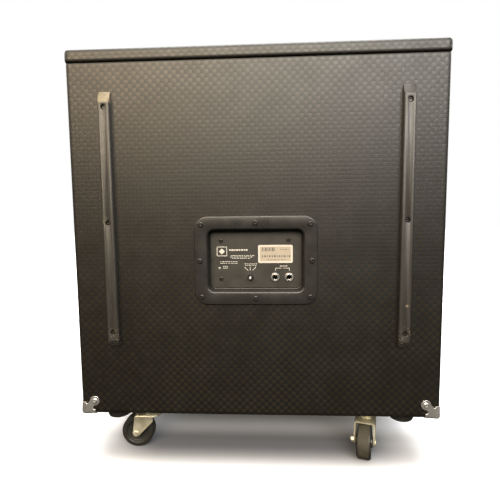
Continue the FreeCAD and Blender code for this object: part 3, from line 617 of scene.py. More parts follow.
MIRROR = Matrix.Scale(-1, 4, (1, 0, 0))
WELD = 2e-6             # metres within which points of a CAD mesh are one
FLAT = 0.4              # degrees within which its faces are one


def loose_parts(work):
    """Lists of the vertices that hang together."""
    seen = set()
    for start in work.verts:
        if start in seen:
            continue
        part, queue = [], [start]
        seen.add(start)
        while queue:
            v = queue.pop()
            part.append(v)
            for other in (e.other_vert(v) for e in v.link_edges):
                if other not in seen:
                    seen.add(other)
                    queue.append(other)
        yield part


def cad_mesh(node, keep=None):
    """A CAD node's mesh, welded, with its flat areas made whole and only the parts keep(centre) picks."""
    work = bmesh.new()
    work.from_mesh(NODES[node].data)
    bmesh.ops.remove_doubles(work, verts=work.verts, dist=WELD)
    if keep is not None:
        drop = []
        for part in loose_parts(work):
            low = Vector([min(v.co[k] for v in part) for k in range(3)])
            high = Vector([max(v.co[k] for v in part) for k in range(3)])
            if not keep((low + high) / 2 / MM):
                drop += part
        bmesh.ops.delete(work, geom=drop, context="VERTS")
    bmesh.ops.dissolve_limit(work, angle_limit=math.radians(FLAT), verts=work.verts, edges=work.edges)
    mesh = bpy.data.meshes.new(node + "_copy")
    work.to_mesh(mesh)
    work.free()
    mesh.materials.clear()
    return mesh


def apply_modifiers(piece):
    view = bpy.context.evaluated_depsgraph_get()
    made = bpy.data.meshes.new_from_object(piece.evaluated_get(view))
    piece.modifiers.clear()
    piece.data = made


def softened(name, node, finish, width, body="root_cabinet", slot=None, keep=None, crease=EDGE_ANGLE + 5):
    """A CAD shape with its sharp edges broken by a small round, shaded smooth up to the crease angle."""
    mesh = cad_mesh(node, keep)
    mesh.materials.append(MATERIALS[finish])
    piece = place(name, mesh, body, slot or finish, [node])
    bevel = piece.modifiers.new("edges", "BEVEL")
    bevel.width, bevel.segments = width * MM, 2
    bevel.limit_method, bevel.angle_limit = "ANGLE", math.radians(EDGE_ANGLE)
    apply_modifiers(piece)
    piece.data.shade_smooth()
    piece.data.set_sharp_from_angle(angle=math.radians(crease))


# ---- vinyl covering --------------------------------------------------------------------------------
HALF_CELL = 2.725       # half of one strand of the embossed basket weave
RELIEF = (0.10, 0.14, 0.20)     # height over the panel of a pit, a strand's edge and its middle
STRAIGHT = 1e9          # what a line has for a radius
ROUND, SMALL_ROUND, LIP = 4.5, 1.2, 1.2     # edges of the cabinet, of its front recess and its top
EDGE_RISE, ROUND_RISE = 0.2, 0.12           # the covering's height at the rims, and what rounded corners add
UNDERSIDE_CELL = 18.0   # the underside is flat, so its points are further apart


def relief(i, j):
    return RELIEF[i % 2 + j % 2]


def even_cells(length):
    """Half cells that fill a length, in whole strands."""
    return 2 * round(length / HALF_CELL / 2)


def woven(i, j):
    return (i / 2.0, j / 2.0, 0.0)


class Path:
    """A flat run of lines and arcs, sampled by length, each point with its outward normal and radius."""

    def __init__(self, parts):
        self.parts, self.length = [], 0.0
        for part in parts:
            if part[0] == "line":
                size = (Vector(part[2]) - Vector(part[1])).length
            else:
                size = part[2] * math.radians(abs(part[4] - part[3]))
            self.parts.append((self.length, size, part))
            self.length += size

    def at(self, s):
        s = min(max(s, 0.0), self.length)
        for start, size, part in self.parts:
            if s <= start + size + 1e-9:
                break
        t = (s - start) / size
        if part[0] == "line":
            a, b = Vector(part[1]), Vector(part[2])
            d = (b - a).normalized()
            return a.lerp(b, t), Vector((d.y, -d.x)), STRAIGHT
        centre, r, a0, a1 = part[1:]
        a = math.radians(a0 + (a1 - a0) * t)
        n = Vector((math.cos(a), math.sin(a)))
        return Vector(centre) + n * r, n, r


def round_rect_path(x, y0, y1, r):
    """Closed path round a plan rectangle, anticlockwise from the middle of its -Y side."""
    return Path([("line", (0, y0), (x - r, y0)), ("arc", (x - r, y0 + r), r, -90, 0),
                 ("line", (x, y0 + r), (x, y1 - r)), ("arc", (x - r, y1 - r), r, 0, 90),
                 ("line", (x - r, y1), (r - x, y1)), ("arc", (r - x, y1 - r), r, 90, 180),
                 ("line", (-x, y1 - r), (-x, y0 + r)), ("arc", (r - x, y0 + r), r, 180, 270),
                 ("line", (r - x, y0), (0, y0))])


def mirrored(parts):
    """The same run across the middle of the cabinet, taken backwards."""
    for kind, *part in parts[::-1]:
        if kind == "line":
            (ax, ay), (bx, by) = part
            yield "line", (-bx, by), (-ax, ay)
        else:
            (x, y), r, first, last = part
            yield "arc", (-x, y), r, 180 - last, 180 - first


def window(node, margin, across, up=2):
    """Test for a place behind a CAD node's outline, less a margin, seen along the third axis."""
    low, high = span(node)
    middle, half = (low + high) / 2, (high - low) / 2

    def inside(p):
        return all(abs(p[k] - middle[k]) < half[k] - margin for k in (across, up))
    return inside


def cover_sides(form, box, z_floor, y_baffle, x_in):
    """Round the cabinet's back and sides, over its rim, and into the recess in front."""
    (_, y0, z0), (x_out, y1, z1) = box
    r, inner_r = ROUND, SMALL_ROUND
    half = [("line", (x_in, y_baffle), (x_in, y0 + inner_r)),
            ("arc", (x_in + inner_r, y0 + inner_r), inner_r, 180, 270),
            ("line", (x_in + inner_r, y0), (x_out - r, y0)),
            ("arc", (x_out - r, y0 + r), r, -90, 0),
            ("line", (x_out, y0 + r), (x_out, y1 - r)),
            ("arc", (x_out - r, y1 - r), r, 0, 90),
            ("line", (x_out - r, y1), (0, y1))]
    path = Path(half + list(mirrored(half)))
    columns, rows = even_cells(path.length), even_cells(z1 - LIP - z0 - r)
    heights = []           # (inset, z, row number) from the underside up
    for phi in (84, 58, 30):
        a = math.radians(phi)
        heights.append((r * (1 - math.cos(a)), z0 + r - r * math.sin(a), phi / 30.0 * -1.0))
    heights += [(0.0, z0 + r + (z1 - LIP - z0 - r) * j / rows, float(j)) for j in range(rows + 1)]
    heights += [(0.35, z1 - 0.35, rows + 0.4), (1.2, z1, rows + 0.8), (3.6, z1 + 0.05, rows + 1.7)]
    behind_plate, behind_handle = window("jack_plate", 5.5, 0), window("side_handle_left", 6.0, 1)

    def hidden(p, n):
        if n.y > 0.99:
            return behind_plate(p)
        return abs(n.x) > 0.99 and abs(p.x) > x_in + 5 and behind_handle(p)

    stops = []              # column numbers, with one more between two columns on a rounded edge
    for i in range(columns + 1):
        stops.append(float(i))
        if i < columns and path.at(path.length * (i + 0.5) / columns)[2] < STRAIGHT:
            stops.append(i + 0.5)
    points, extra, normals, lengths = [], [], [], []
    for i in stops:
        flat, normal, radius = path.at(path.length * i / columns)
        for inset, z, j in heights:
            rise = EDGE_RISE
            if inset == 0.0:
                rise = (relief(math.floor(i), int(j)) + relief(math.ceil(i), int(j))) / 2
            rise += ROUND_RISE if radius < STRAIGHT else 0.0
            pos = flat - normal * (min(inset, radius) - rise)
            points.append(Vector((pos.x, pos.y, z)))
            extra.append(woven(i, j))
            normals.append(normal)
        lengths.append(path.length * i / columns)
    in_recess = abs(y_baffle - y0) - inner_r + inner_r * math.pi / 2
    faces = []
    for quad in quads(len(stops), len(heights)):
        before, after = lengths[quad[0] // len(heights)], lengths[quad[1] // len(heights)]
        middle = sum((points[k] for k in quad), Vector()) / 4
        if min(after, path.length - before) < in_recess and middle.z < z_floor - 0.5:
            continue
        if not all(hidden(points[k], normals[k]) for k in quad):
            faces.append(quad)
    form.add(points, faces, 0, extra)


def cover_front_edge(form, box, z_floor, y_baffle, x_in):
    """The front edge of the bottom panel, from the foot of the baffle over and under."""
    _, y0, z0 = box[0]
    r, inner_r = ROUND, SMALL_ROUND
    run = Path([("line", (y_baffle, z_floor), (y0 + inner_r, z_floor)),
                ("arc", (y0 + inner_r, z_floor - inner_r), inner_r, 90, 180),
                ("line", (y0, z_floor - inner_r), (y0, z0 + r)),
                ("arc", (y0 + r, z0 + r), r, 180, 264)])
    along, down = even_cells(2 * x_in), even_cells(run.length)
    points, extra = [], []
    for j in range(down + 1):
        flat, normal, radius = run.at(run.length * j / down)
        if radius == STRAIGHT:      # a line's normal lies on its right; this run turns the other way
            normal = -normal
        for i in range(along + 1):
            pos = flat + normal * relief(i, j)
            points.append(Vector((-x_in + 2 * x_in * i / along, pos.x, pos.y)))
            extra.append(woven(i, j))
    form.add(points, quads(down + 1, along + 1), 0, extra)


def cover_underside(form, box):
    (_, y0, z0), (x_out, y1, _) = box
    r = ROUND
    nx, ny = (round(size / UNDERSIDE_CELL) for size in (2 * (x_out - r), y1 - y0 - 2 * r))
    points, extra = [], []
    for i in range(nx + 1):
        for j in range(ny + 1):
            x = -(x_out - r) + 2 * (x_out - r) * i / nx
            y = y0 + r + (y1 - y0 - 2 * r) * j / ny
            points.append(Vector((x, y, z0 - 0.1)))
            extra.append(woven(x / HALF_CELL, y / HALF_CELL))
    form.add(points, [quad[:1] + quad[:0:-1] for quad in quads(nx + 1, ny + 1)], 0, extra)


def make_cabinet_covering():
    box = span("side_panel_left")
    edges = span("bottom_panel")[1].z, span("front_baffle")[0].y, box[0].x
    form = Form()
    cover_sides(form, box, *edges)
    cover_front_edge(form, box, *edges)
    cover_underside(form, box)
    form.piece("cabinet_covering", "vinyl", "root_cabinet", "vinyl_panels", sharp=70, attribute="weave")


def make_lid_covering():
    low, high = span("lid_panel")
    x, y0, y1 = high.x, low.y, high.y
    top_r, foot_r, corner_r = 5.0, 2.0, 6.0
    straight = 4            # half cells up the straight part of the edge
    sink = max(RELIEF)
    path = round_rect_path(x, y0, y1, corner_r)
    columns = even_cells(path.length)
    # (inset, z, row number) from the foot up
    profile = [(foot_r, low.z, -1.2), (foot_r * 0.3, low.z + foot_r * 0.3, -0.5)]
    profile += [(0.0, low.z + foot_r + (high.z - top_r - low.z - foot_r) * k / straight, float(k))
                for k in range(straight + 1)]
    for k, phi in enumerate((30, 60, 90)):
        a = math.radians(phi)
        profile.append((top_r * (1 - math.cos(a)), high.z - top_r + top_r * math.sin(a),
                        straight + 1.0 + k))
    points, extra = [], []
    for i in range(columns):
        flat, normal, _ = path.at(path.length * i / columns)
        for inset, z, j in profile:
            level = 0 <= j < straight + 3
            fall = sink - relief(i, int(j)) if level else (0.0 if z > high.z - 0.1 else sink)
            lean = min(inset / top_r, 1.0) if z > high.z - top_r else 0.0
            pos = flat - normal * (inset + fall * (1 - lean))
            points.append(Vector((pos.x, pos.y, z - fall * lean)))
            extra.append(woven(i, j))
    form = Form().add(points, quads(columns, len(profile), closed=True), 0, extra)
    form.add(points[::len(profile)], [list(range(columns))[::-1]], 1)
    nx, ny = even_cells(2 * (x - top_r)), even_cells(y1 - y0 - 2 * top_r)
    points, extra = [], []
    for i in range(nx + 1):
        for j in range(ny + 1):
            border = i in (0, nx) or j in (0, ny)
            px = -(x - top_r) + 2 * (x - top_r) * i / nx
            py = y0 + top_r + (y1 - y0 - 2 * top_r) * j / ny
            points.append(Vector((px, py, high.z - (0.0 if border else sink - relief(i, j)))))
            extra.append(woven(i, j))
    form.add(points, quads(nx + 1, ny + 1), 0, extra)
    form.piece("lid_covering", ["vinyl", "painted_ply"], "lid", "vinyl_panels", ["lid_panel"], sharp=70,
               attribute="weave")


# ---- jack plate ------------------------------------------------------------------------------------
RECESS_W, RECESS_H, RECESS_DEEP = 131.0, 85.0, 13.0
PANEL_FRONT = span("jack_panel")[1].y
PANEL_FACING = (0, 1, 0)


def make_jack_plate():
    low, high = span("jack_plate")
    w, h = high.x - low.x, high.z - low.z
    back = span("back_panel")[1].y
    top = high.y - back
    deep = RECESS_DEEP
    # round the lip, down the dish and back behind it; heights are over the cabinet's back
    sizes = grown(w, h, ((0, 18, 0), (0, 18, top - 1.4), (-0.5, 17.8, top - 0.7), (-1.6, 17.2, top - 0.2),
                         (-3.2, 16.4, top)))
    sizes += grown(RECESS_W, RECESS_H, ((5, 11.5, top), (3, 10.5, top - 0.3), (1.4, 9.7, top - 1.2),
                                        (0.6, 9.3, top - 2.8), (0, 9, 4 - deep), (-0.4, 8.8, 1.4 - deep),
                                        (-1.6, 8.2, 0.3 - deep), (-3.4, 7.3, -deep)))
    sizes += [(118, 70, 2, -deep), (118, 70, 2, -deep - 2)]
    sizes += grown(RECESS_W, RECESS_H, ((4, 11, -deep - 2), (4, 11, -1), (6, 12, 0)))
    form = Form().add(*loft(rect_rings(sizes, 10), closed=True))
    centre = ((low.x + high.x) / 2, back, (low.z + high.z) / 2)
    dish = Form().put(form, facing(PANEL_FACING, centre))
    dish.piece("jack_dish", "black_plastic", "root_cabinet", "black_plastic", ["jack_plate"])
    softened("jack_inner_panel", "jack_panel", "panel_paint", 0.3, crease=12.0)
    softened("jack_ring_nuts", "jack_nuts", "nickel", 0.2)
    softened("jack_sockets_collared", "jack_sockets", "socket", 0.25, slot="black_plastic")
    softened("plate_screws", "jack_plate_screws", "black_screws", 0.2)


def on_panel(form, x, z, w, h, r=0.2, lift=0.0, thick=0.10, turn=0.0, finish=0):
    """A thin printed or stuck patch centred on (x, z) of the sunk panel."""
    sizes = [(w, h, r, 0), (w, h, r, thick * 0.6), (w - thick, h - thick, max(r - thick / 2, 0.01), thick)]
    patch = Form().add(*loft(rect_rings(sizes, 4), capped=True), finish)
    stand = facing(PANEL_FACING, (x, PANEL_FRONT + lift, z))
    form.put(patch, stand @ Matrix.Rotation(math.radians(turn), 4, "Z"))


def frame_of_bars(form, x, z, reach_x, reach_z, long_x, long_z, thick):
    for dx, dz, w, h in ((0, reach_z, long_x, thick), (0, -reach_z, long_x, thick),
                         (reach_x, 0, thick, long_z), (-reach_x, 0, thick, long_z)):
        on_panel(form, x + dx, z + dz, w, h)


def bar_row(form, x0, x1, z, widths, h, gap, **more):
    """Plain bars in place of small print, from x0 as far as x1."""
    for w in itertools.cycle(widths):
        if x0 + w > x1:
            return
        on_panel(form, x0 + w / 2, z, w, h, 0.12, **more)
        x0 += w + gap


# plain bars in place of small print: first and last x, z, widths, height, gap
PRINT_ROWS = [(11.5, 38.6, 315.0, (2.6, 1.9, 3.1, 2.2), 2.1, 0.9)]
PRINT_ROWS += [(2.0 + 3.1 * k, 37.8, z, (3.4, 2.1, 4.6, 1.6, 2.8), 0.75, 0.9)
               for k, z in enumerate((307.2, 305.2, 303.2))]
PRINT_ROWS += [(25.5, 55.0, 298.7, (2.4, 3.6, 1.8, 4.2), 0.75, 0.9),
               (25.5, 50.0, 296.4, (3.3, 1.9, 2.7), 0.75, 0.9),
               (-2.0, 17.0, 295.5, (1.8, 2.6), 0.75, 0.9), (-1.0, 16.5, 293.4, (2.3, 1.5, 2.0), 0.75, 0.9)]
# the sticker's middle and size, and its rows of bars, from the middle
STICKER = (-27.4, 309.2, 48.2, 25.3)
STICKER_ROWS = ((0.5, 20.0, 6.4, (0.9, 2.2, 0.7, 1.4), 5.2, 1.1),
                (-18.5, -4.5, 6.4, (1.6, 2.8, 2.1), 1.0, 1.2),
                (-20.5, 20.5, -3.2, (2.0, 1.1, 2.6, 1.5), 2.6, 1.6),
                (-14.0, 12.5, -8.2, (2.2, 3.0, 1.4), 0.8, 1.0))


def make_panel_print():
    ink = Form()
    # square mark: a plain frame with a plain diamond, in place of a maker's sign
    frame_of_bars(ink, 47.6, 313.1, 6.8, 6.3, 14.4, 13.4, 0.9)
    on_panel(ink, 47.6, 313.1, 6.0, 6.0, 0.4, turn=45.0)
    for row in PRINT_ROWS:
        bar_row(ink, *row)
    for x in (41.0, 44.6):
        frame_of_bars(ink, x, 290.6, 1.25, 1.6, 3.0, 3.2, 0.5)
    on_panel(ink, 51.2, 290.4, 3.4, 0.7)
    on_panel(ink, 51.2, 288.8, 2.4, 0.7)
    # fan of three strokes over the toggle
    for x0, z0 in ((16.2, 291.0), (8.0, 291.6), (-0.2, 291.0)):
        x1, z1 = 7.9 + (x0 - 7.9) * 0.35, 286.2
        length = math.hypot(x1 - x0, z1 - z0)
        turn = math.degrees(math.atan2(z1 - z0, -(x1 - x0)))
        on_panel(ink, (x0 + x1) / 2, (z0 + z1) / 2, length, 0.7, turn=turn)
    # bracket over the two jacks
    for x, z, w, h in ((-31.6, 289.2, 8.6, 0.7), (-42.4, 289.2, 8.6, 0.7), (-27.3, 287.6, 0.7, 3.9),
                       (-46.7, 287.6, 0.7, 3.9)):
        on_panel(ink, x, z, w, h)
    bar_row(ink, -44.0, -30.0, 292.2, (3.0, 2.2, 3.6), 1.1, 0.8)
    ink.piece("panel_print", "print_white", "root_cabinet", "panel_paint")

    sticker = Form()
    cx, cz, w, h = STICKER
    on_panel(sticker, cx, cz, w, h, 2.2, thick=0.16)
    on_panel(sticker, cx, cz, w - 5.0, h - 5.0, 0.8, lift=0.12, finish=1)
    for x0, x1, z, *bars in STICKER_ROWS:
        bar_row(sticker, cx + x0, cx + x1, cz + z, *bars, lift=0.18, finish=2)
    sticker.piece("panel_sticker", ["label_paper", "label_tint", "label_ink"], "root_cabinet", "panel_paint")


# ---- rails, screws, corners and feet ---------------------------------------------------------------
def make_rails():
    for side in ("left", "right"):
        softened("rail_" + side, "skid_rail_" + side, "rail_paint", 0.5)


def make_screws():
    """The CAD keeps all the cabinet's screws as one node; they are told apart by where they are."""
    groups = (("rail_screws", "black_screws", lambda c: c.y > 180 and c.z > 150),
              ("corner_screws", "nickel", lambda c: abs(c.x) > 225 and c.z < 150),
              ("underside_screws", "zinc", lambda c: abs(c.x) < 225 and c.z < 150))
    for name, finish, keep in groups:
        softened(name, "cabinet_screws", finish, 0.2, keep=keep)


EAR = (19.3, 19.5)      # a corner cap's screws, from the two outer faces beside them
CAP_REACH = 17.0        # how far the dome of a corner cap reaches
CAP_RISE, RING_RISE = 1.3, 0.9
RING_R, RING_WIDE = 5.6, 0.9


def make_corners():
    """Stamped corners: the CAD shape with rolled edges, a domed middle and a raised ring round each screw."""
    piece = place("corner_caps", cad_mesh("corner_protectors"), "root_cabinet", "nickel", ["corner_protectors"])
    remesh = piece.modifiers.new("remesh", "REMESH")
    remesh.mode, remesh.voxel_size = "VOXEL", 0.42 * MM
    soften = piece.modifiers.new("soften", "SMOOTH")
    soften.factor, soften.iterations = 0.5, 7
    apply_modifiers(piece)
    low, high = span("side_panel_left")
    y0, y1, x1, z0 = low.y, high.y, high.x, low.z
    least, most = span("corner_protectors")
    for v in piece.data.vertices:
        p = v.co / MM
        sx = 1 if p.x > 0 else -1
        sy, edge = (1, y1) if p.y > 0 else (-1, y0)
        near = Vector((x1 - sx * p.x, sy * (edge - p.y), p.z - z0))       # distance inside each outer face
        out = Vector((sx, sy, -1.0))
        dome = max(0.0, 1.0 - near.length / CAP_REACH)
        push = out.normalized() * (CAP_RISE * dome * dome * (3 - 2 * dome))
        for k, (a, b) in enumerate(((1, 2), (0, 2), (0, 1))):             # the two distances along each face
            if near[k] > 2.5 or (k == 1 and sy < 0):
                continue
            spread = math.hypot(near[a] - EAR[0], near[b] - EAR[1])
            push[k] += out[k] * RING_RISE * math.exp(-((spread - RING_R) / RING_WIDE) ** 2)
        p += push
        v.co = Vector([min(max(p[k], least[k]), most[k]) for k in range(3)]) * MM
    piece.data.shade_smooth()
    piece.data.materials.clear()
    piece.data.materials.append(MATERIALS["nickel"])


def make_feet():
    low, high = span("rubber_feet")
    r = 19.0
    z1, z0 = high.z, low.z
    outline = [(2.3, z1), (r, z1), (r, z1 - 5.2), (r - 0.15, z1 - 6), (r - 1.6, z0 + 3.2), (r - 1.9, z0 + 2),
               (r - 2.6, z0 + 0.8), (r - 3.8, z0 + 0.1), (r - 5, z0), (7.6, z0), (6.6, z0 + 0.4),
               (6, z0 + 1.4), (6, z0 + 10.3), (5.5, z0 + 11), (2.3, z0 + 11)]
    form = Form()
    points, faces = lathe(outline, 72)
    for x in (low.x + r, high.x - r):
        for y in (low.y + r, high.y - r):
            form.put(Form().add(points, faces), Matrix.Translation((x, y, 0)))
    form.piece("feet", "foot_rubber", "root_cabinet", "foot_rubber", ["rubber_feet"])


# ---- handles and latches ---------------------------------------------------------------------------
def pan_head(r, h):
    return lathe([(0, -0.5), (r, -0.5), (r, h * 0.25), (r * 0.97, h * 0.5), (r * 0.86, h * 0.8),
                  (r * 0.66, h * 0.96), (r * 0.42, h), (r * 0.34, h * 0.72), (0, h * 0.62)], 28, closed=False)


def make_handles():
    low, high = span("side_handle_left")
    wide, tall = high.y - low.y, high.z - low.z
    x_side = span("side_panel_left")[1].x
    ow, oh, deep, wall = 128.0, 84.0, 42.0, 2.5
    # behind the side panel, over its flange, and down inside the cup
    sizes = grown(ow, oh, ((-8, 10, -deep - wall), (3, 13, -deep - wall), (5, 14, -deep), (5, 14, 0)))
    sizes += grown(wide, tall, ((0, 18, 0), (0, 18, 1.5), (-0.6, 17.7, 2.3), (-2, 17, 2.85), (-4, 16, 3)))
    sizes += grown(ow, oh, ((9, 15.5, 3), (5, 13.6, 2.6), (2, 12.5, 1.4), (0.4, 12, -1.0), (-1.5, 12, -34),
                            (-3.5, 12, -38.5), (-9, 11, -41.2), (-18, 10, -deep)))
    form = Form().add(*loft(rect_rings(sizes, 9), capped=True))
    # the bar, thicker where it meets the cup
    up, back, half, count = 22.0, -8.0, ow / 2, 40
    stations = [(half + 0.4, 13.0), (half - 1.2, 11.6), (half - 3.5, 10.2), (half - 7, 9.4), (half - 13, 9.0)]
    rings = []
    for x, r in [(-x, r) for x, r in stations] + stations[::-1]:
        turns = [2 * math.pi * k / count for k in range(count)]
        rings.append([(x, up + r * math.cos(a), back + 0.92 * r * math.sin(a)) for a in turns])
    form.add(*loft(rings, capped=True))
    for x in (-72.5, 72.5):
        for y in (-48.5, 48.5):
            form.put(Form().add(*pan_head(4.2, 2.2), 1), Matrix.Translation((x, y, 3.0)))
    stand = facing((1, 0, 0), (x_side, (low.y + high.y) / 2, (low.z + high.z) / 2))
    left = Form().put(form, stand)
    for name, matrix in (("left", Matrix.Identity(4)), ("right", MIRROR)):
        one = Form().put(left, matrix)
        one.piece("handle_" + name, ["black_plastic", "black_screws"], "root_cabinet", "black_plastic",
                  ["side_handle_" + name])


def make_latches():
    softened("latch_plates", "latch_bases", "latch_steel", 0.3)
    softened("lid_keepers", "latch_keepers", "latch_steel", 0.25, body="lid")
    for side in ("left", "right"):
        softened("hook_" + side, "latch_hook_" + side, "latch_steel", 0.3, body="latch_" + side)


# ---- casters ---------------------------------------------------------------------------------------
TRAIL, WHEEL_R, FORK_HALF, LEG_T = 24.0, 25.0, 15.0, 2.5
CROWN_TOP, BEND = 54.5, 3.0


def leg_outline():
    """Side view of a fork leg, anticlockwise from its shoulder; its top edge is straight."""
    tip, top = 5.7, CROWN_TOP - BEND
    shoulder = Vector((TRAIL - 27, 45.0))
    to_axle = Vector((TRAIL, WHEEL_R)) - shoulder
    slope = math.atan2(to_axle.y, to_axle.x) - math.asin(tip / to_axle.length)
    run = math.sqrt(to_axle.length ** 2 - tip ** 2)
    low = shoulder + Vector((math.cos(slope), math.sin(slope))) * run
    start = math.atan2(low.y - WHEEL_R, low.x - TRAIL)
    steps = 18
    arc = [on_circle(TRAIL, WHEEL_R, tip, start - start * k / steps) for k in range(steps + 1)]
    side = [tuple(shoulder.lerp(low, k / 8)) for k in range(8)]
    back = [(TRAIL + tip + (2 - tip) * k / 8, WHEEL_R + (top - WHEEL_R) * k / 8) for k in range(1, 9)]
    return [(shoulder.x, top)] + side + arc + back


def inset(outline, d, top):
    """Shrinks an outline by d, except across its top edge."""
    made, count = [], len(outline)
    for k in range(count):
        a, b, c = (Vector(outline[(k + e) % count]) for e in (-1, 0, 1))
        n1, n2 = (b - a).normalized(), (c - b).normalized()
        inward = Vector((-n1.y - n2.y, n1.x + n2.x))
        inward = inward.normalized() * d / max(0.5, math.cos(n1.angle(n2) / 2))
        if b.y > top - 0.01:
            inward = Vector((math.copysign(d, TRAIL / 2 - b.x), 0.0))
        p = b + inward
        made.append((p.x, min(p.y, top)))
    return made


def fork_form():
    form = Form()
    outline, top = leg_outline(), CROWN_TOP - BEND
    h = FORK_HALF
    levels = [(0.3, h - LEG_T), (0.0, h - LEG_T + 0.3), (0.0, h - 0.4), (0.15, h + 0.1), (0.55, h + 0.32),
              (1.25, h + 0.32), (1.9, h + 0.06), (2.4, h)]
    for sy in (1, -1):
        rings = [[(x, sy * y, z) for x, z in inset(outline, d, top)] for d, y in levels]
        form.add(*loft(rings, capped=True, flip=sy > 0))
    rings = []
    nose, nose_long = TRAIL + 2, 5.0
    xs = [-14.7, -14.2, -13, -11, -8.5, -6, -3] + [nose - (nose + 3) * k / 8 for k in range(7, 1, -1)]
    xs += [nose - nose_long * math.cos(math.radians(a)) for a in (0, 20, 38, 53, 66, 78, 87)]
    for x in xs:
        w = h if x >= 0 else math.sqrt(h * h - x * x)
        fall = BEND if x >= -3 else max(1.2, BEND * (1 - ((-3 - x) / 12) ** 2))
        r = min(BEND, w * 0.6)
        ring = [(x, w - LEG_T * min(1, w / 8), CROWN_TOP - LEG_T - (fall - LEG_T if fall > LEG_T else 0)),
                (x, w, CROWN_TOP - max(fall, r))]
        ring += [(x, w - r + r * math.cos(a), CROWN_TOP - r + r * math.sin(a))
                 for a in [math.radians(15 * k) for k in range(1, 7)]]
        ring += [(x, 0.0, CROWN_TOP)]
        left = [(x, -y, z) for _, y, z in ring[:-1]][::-1]
        under = [(x, 0.0, CROWN_TOP - LEG_T)]
        ring += left + under
        forward = max(0.0, x - nose + nose_long) / nose_long
        thin, floor = math.sqrt(1 - forward ** 2), CROWN_TOP - LEG_T
        rings.append([(x, y, floor + (z - floor) * thin if z > floor else z) for x, y, z in ring])
    form.add(*loft(rings, capped=True))
    race = 79.0 - 8.4       # height of the bearing race's upper face
    outline = ((5.1, -0.4), (13, -0.4), (16.5, 0), (18.2, 0), (18.9, -0.5), (19, -1.3), (18.9, -2.6),
               (18.2, -3.6), (16.4, -6.4), (15.2, -8.4), (14.2, -9.6), (13.6, -11), (13.4, -16.3), (5.1, -16.3))
    form.add(*lathe([(r, race + h) for r, h in outline], 72))
    return form


def wheel_forms():
    low, high = span("wheel_tyre_back_left")        # this one stands square to the axes
    rim = (high.y - low.y) / 2 - 0.1
    edge = [(20.4, rim - 0.1), (22.8, rim), (23.9, rim - 0.5), (24.5, rim - 1.4), (24.8, rim - 2.7),
            (24.95, rim - 4.9), (25, rim - 7.9)]
    tyre = edge + [(25, 0)] + [(r, -y) for r, y in edge[::-1]]
    side = [(3.05, 12.2), (7.2, 12.2), (7.9, 11.7), (8.7, 7.2), (9.6, 6.3), (15.2, 6.0), (16.3, 6.6),
            (17.5, rim - 0.6), (18.2, rim), (19.9, rim), (20.45, rim - 0.5)]
    hub = side + [(r, -y) for r, y in side[::-1]]
    points, faces = lathe(tyre, 96)
    extra = [(min(1.0, max(0.0, (rim - 1.3 - abs(y)) / 2.0)) if math.hypot(x, z) > 24 else 0.0, 0.0, 0.0)
             for x, z, y in points]
    return Form().add(points, faces, 0, extra), Form().add(*lathe(hub, 96))


def make_casters():
    softened("caster_mounts", "caster_plates", "zinc", 0.35, crease=20.0)
    fork = fork_form()
    tyre, hub = wheel_forms()
    pivots = {j["child"]: j["pos_m"] for j in frame["joints"] if "pos_m" in j}
    for where in ("back_left", "back_right", "front_left", "front_right"):
        at = Vector(pivots["caster_" + where]) / MM
        wheel = Vector(pivots["wheel_" + where]) / MM
        turn = math.atan2(wheel.y - at.y, wheel.x - at.x)
        stand = Matrix.Translation((at.x, at.y, 0)) @ Matrix.Rotation(turn, 4, "Z")
        axle = stand @ facing((0, 1, 0), (TRAIL, 0, WHEEL_R))
        Form().put(fork, stand).piece("fork_" + where, "zinc", "caster_" + where, "zinc",
                                      ["caster_fork_" + where])
        softened("axle_bolt_" + where, "caster_axle_" + where, "zinc", 0.4, body="caster_" + where)
        Form().put(tyre, axle).piece("tyre_" + where, "wheel_rubber", "wheel_" + where, "wheel_rubber",
                                     ["wheel_tyre_" + where], attribute="tread")
        Form().put(hub, axle).piece("hub_" + where, "wheel_plastic", "wheel_" + where, "wheel_plastic",
                                    ["wheel_hub_" + where])


# ---- grille cloth ----------------------------------------------------------------------------------
CLOTH_WRAP = 10.0       # cloth turned back round each edge of its frame
THREAD = 1.1


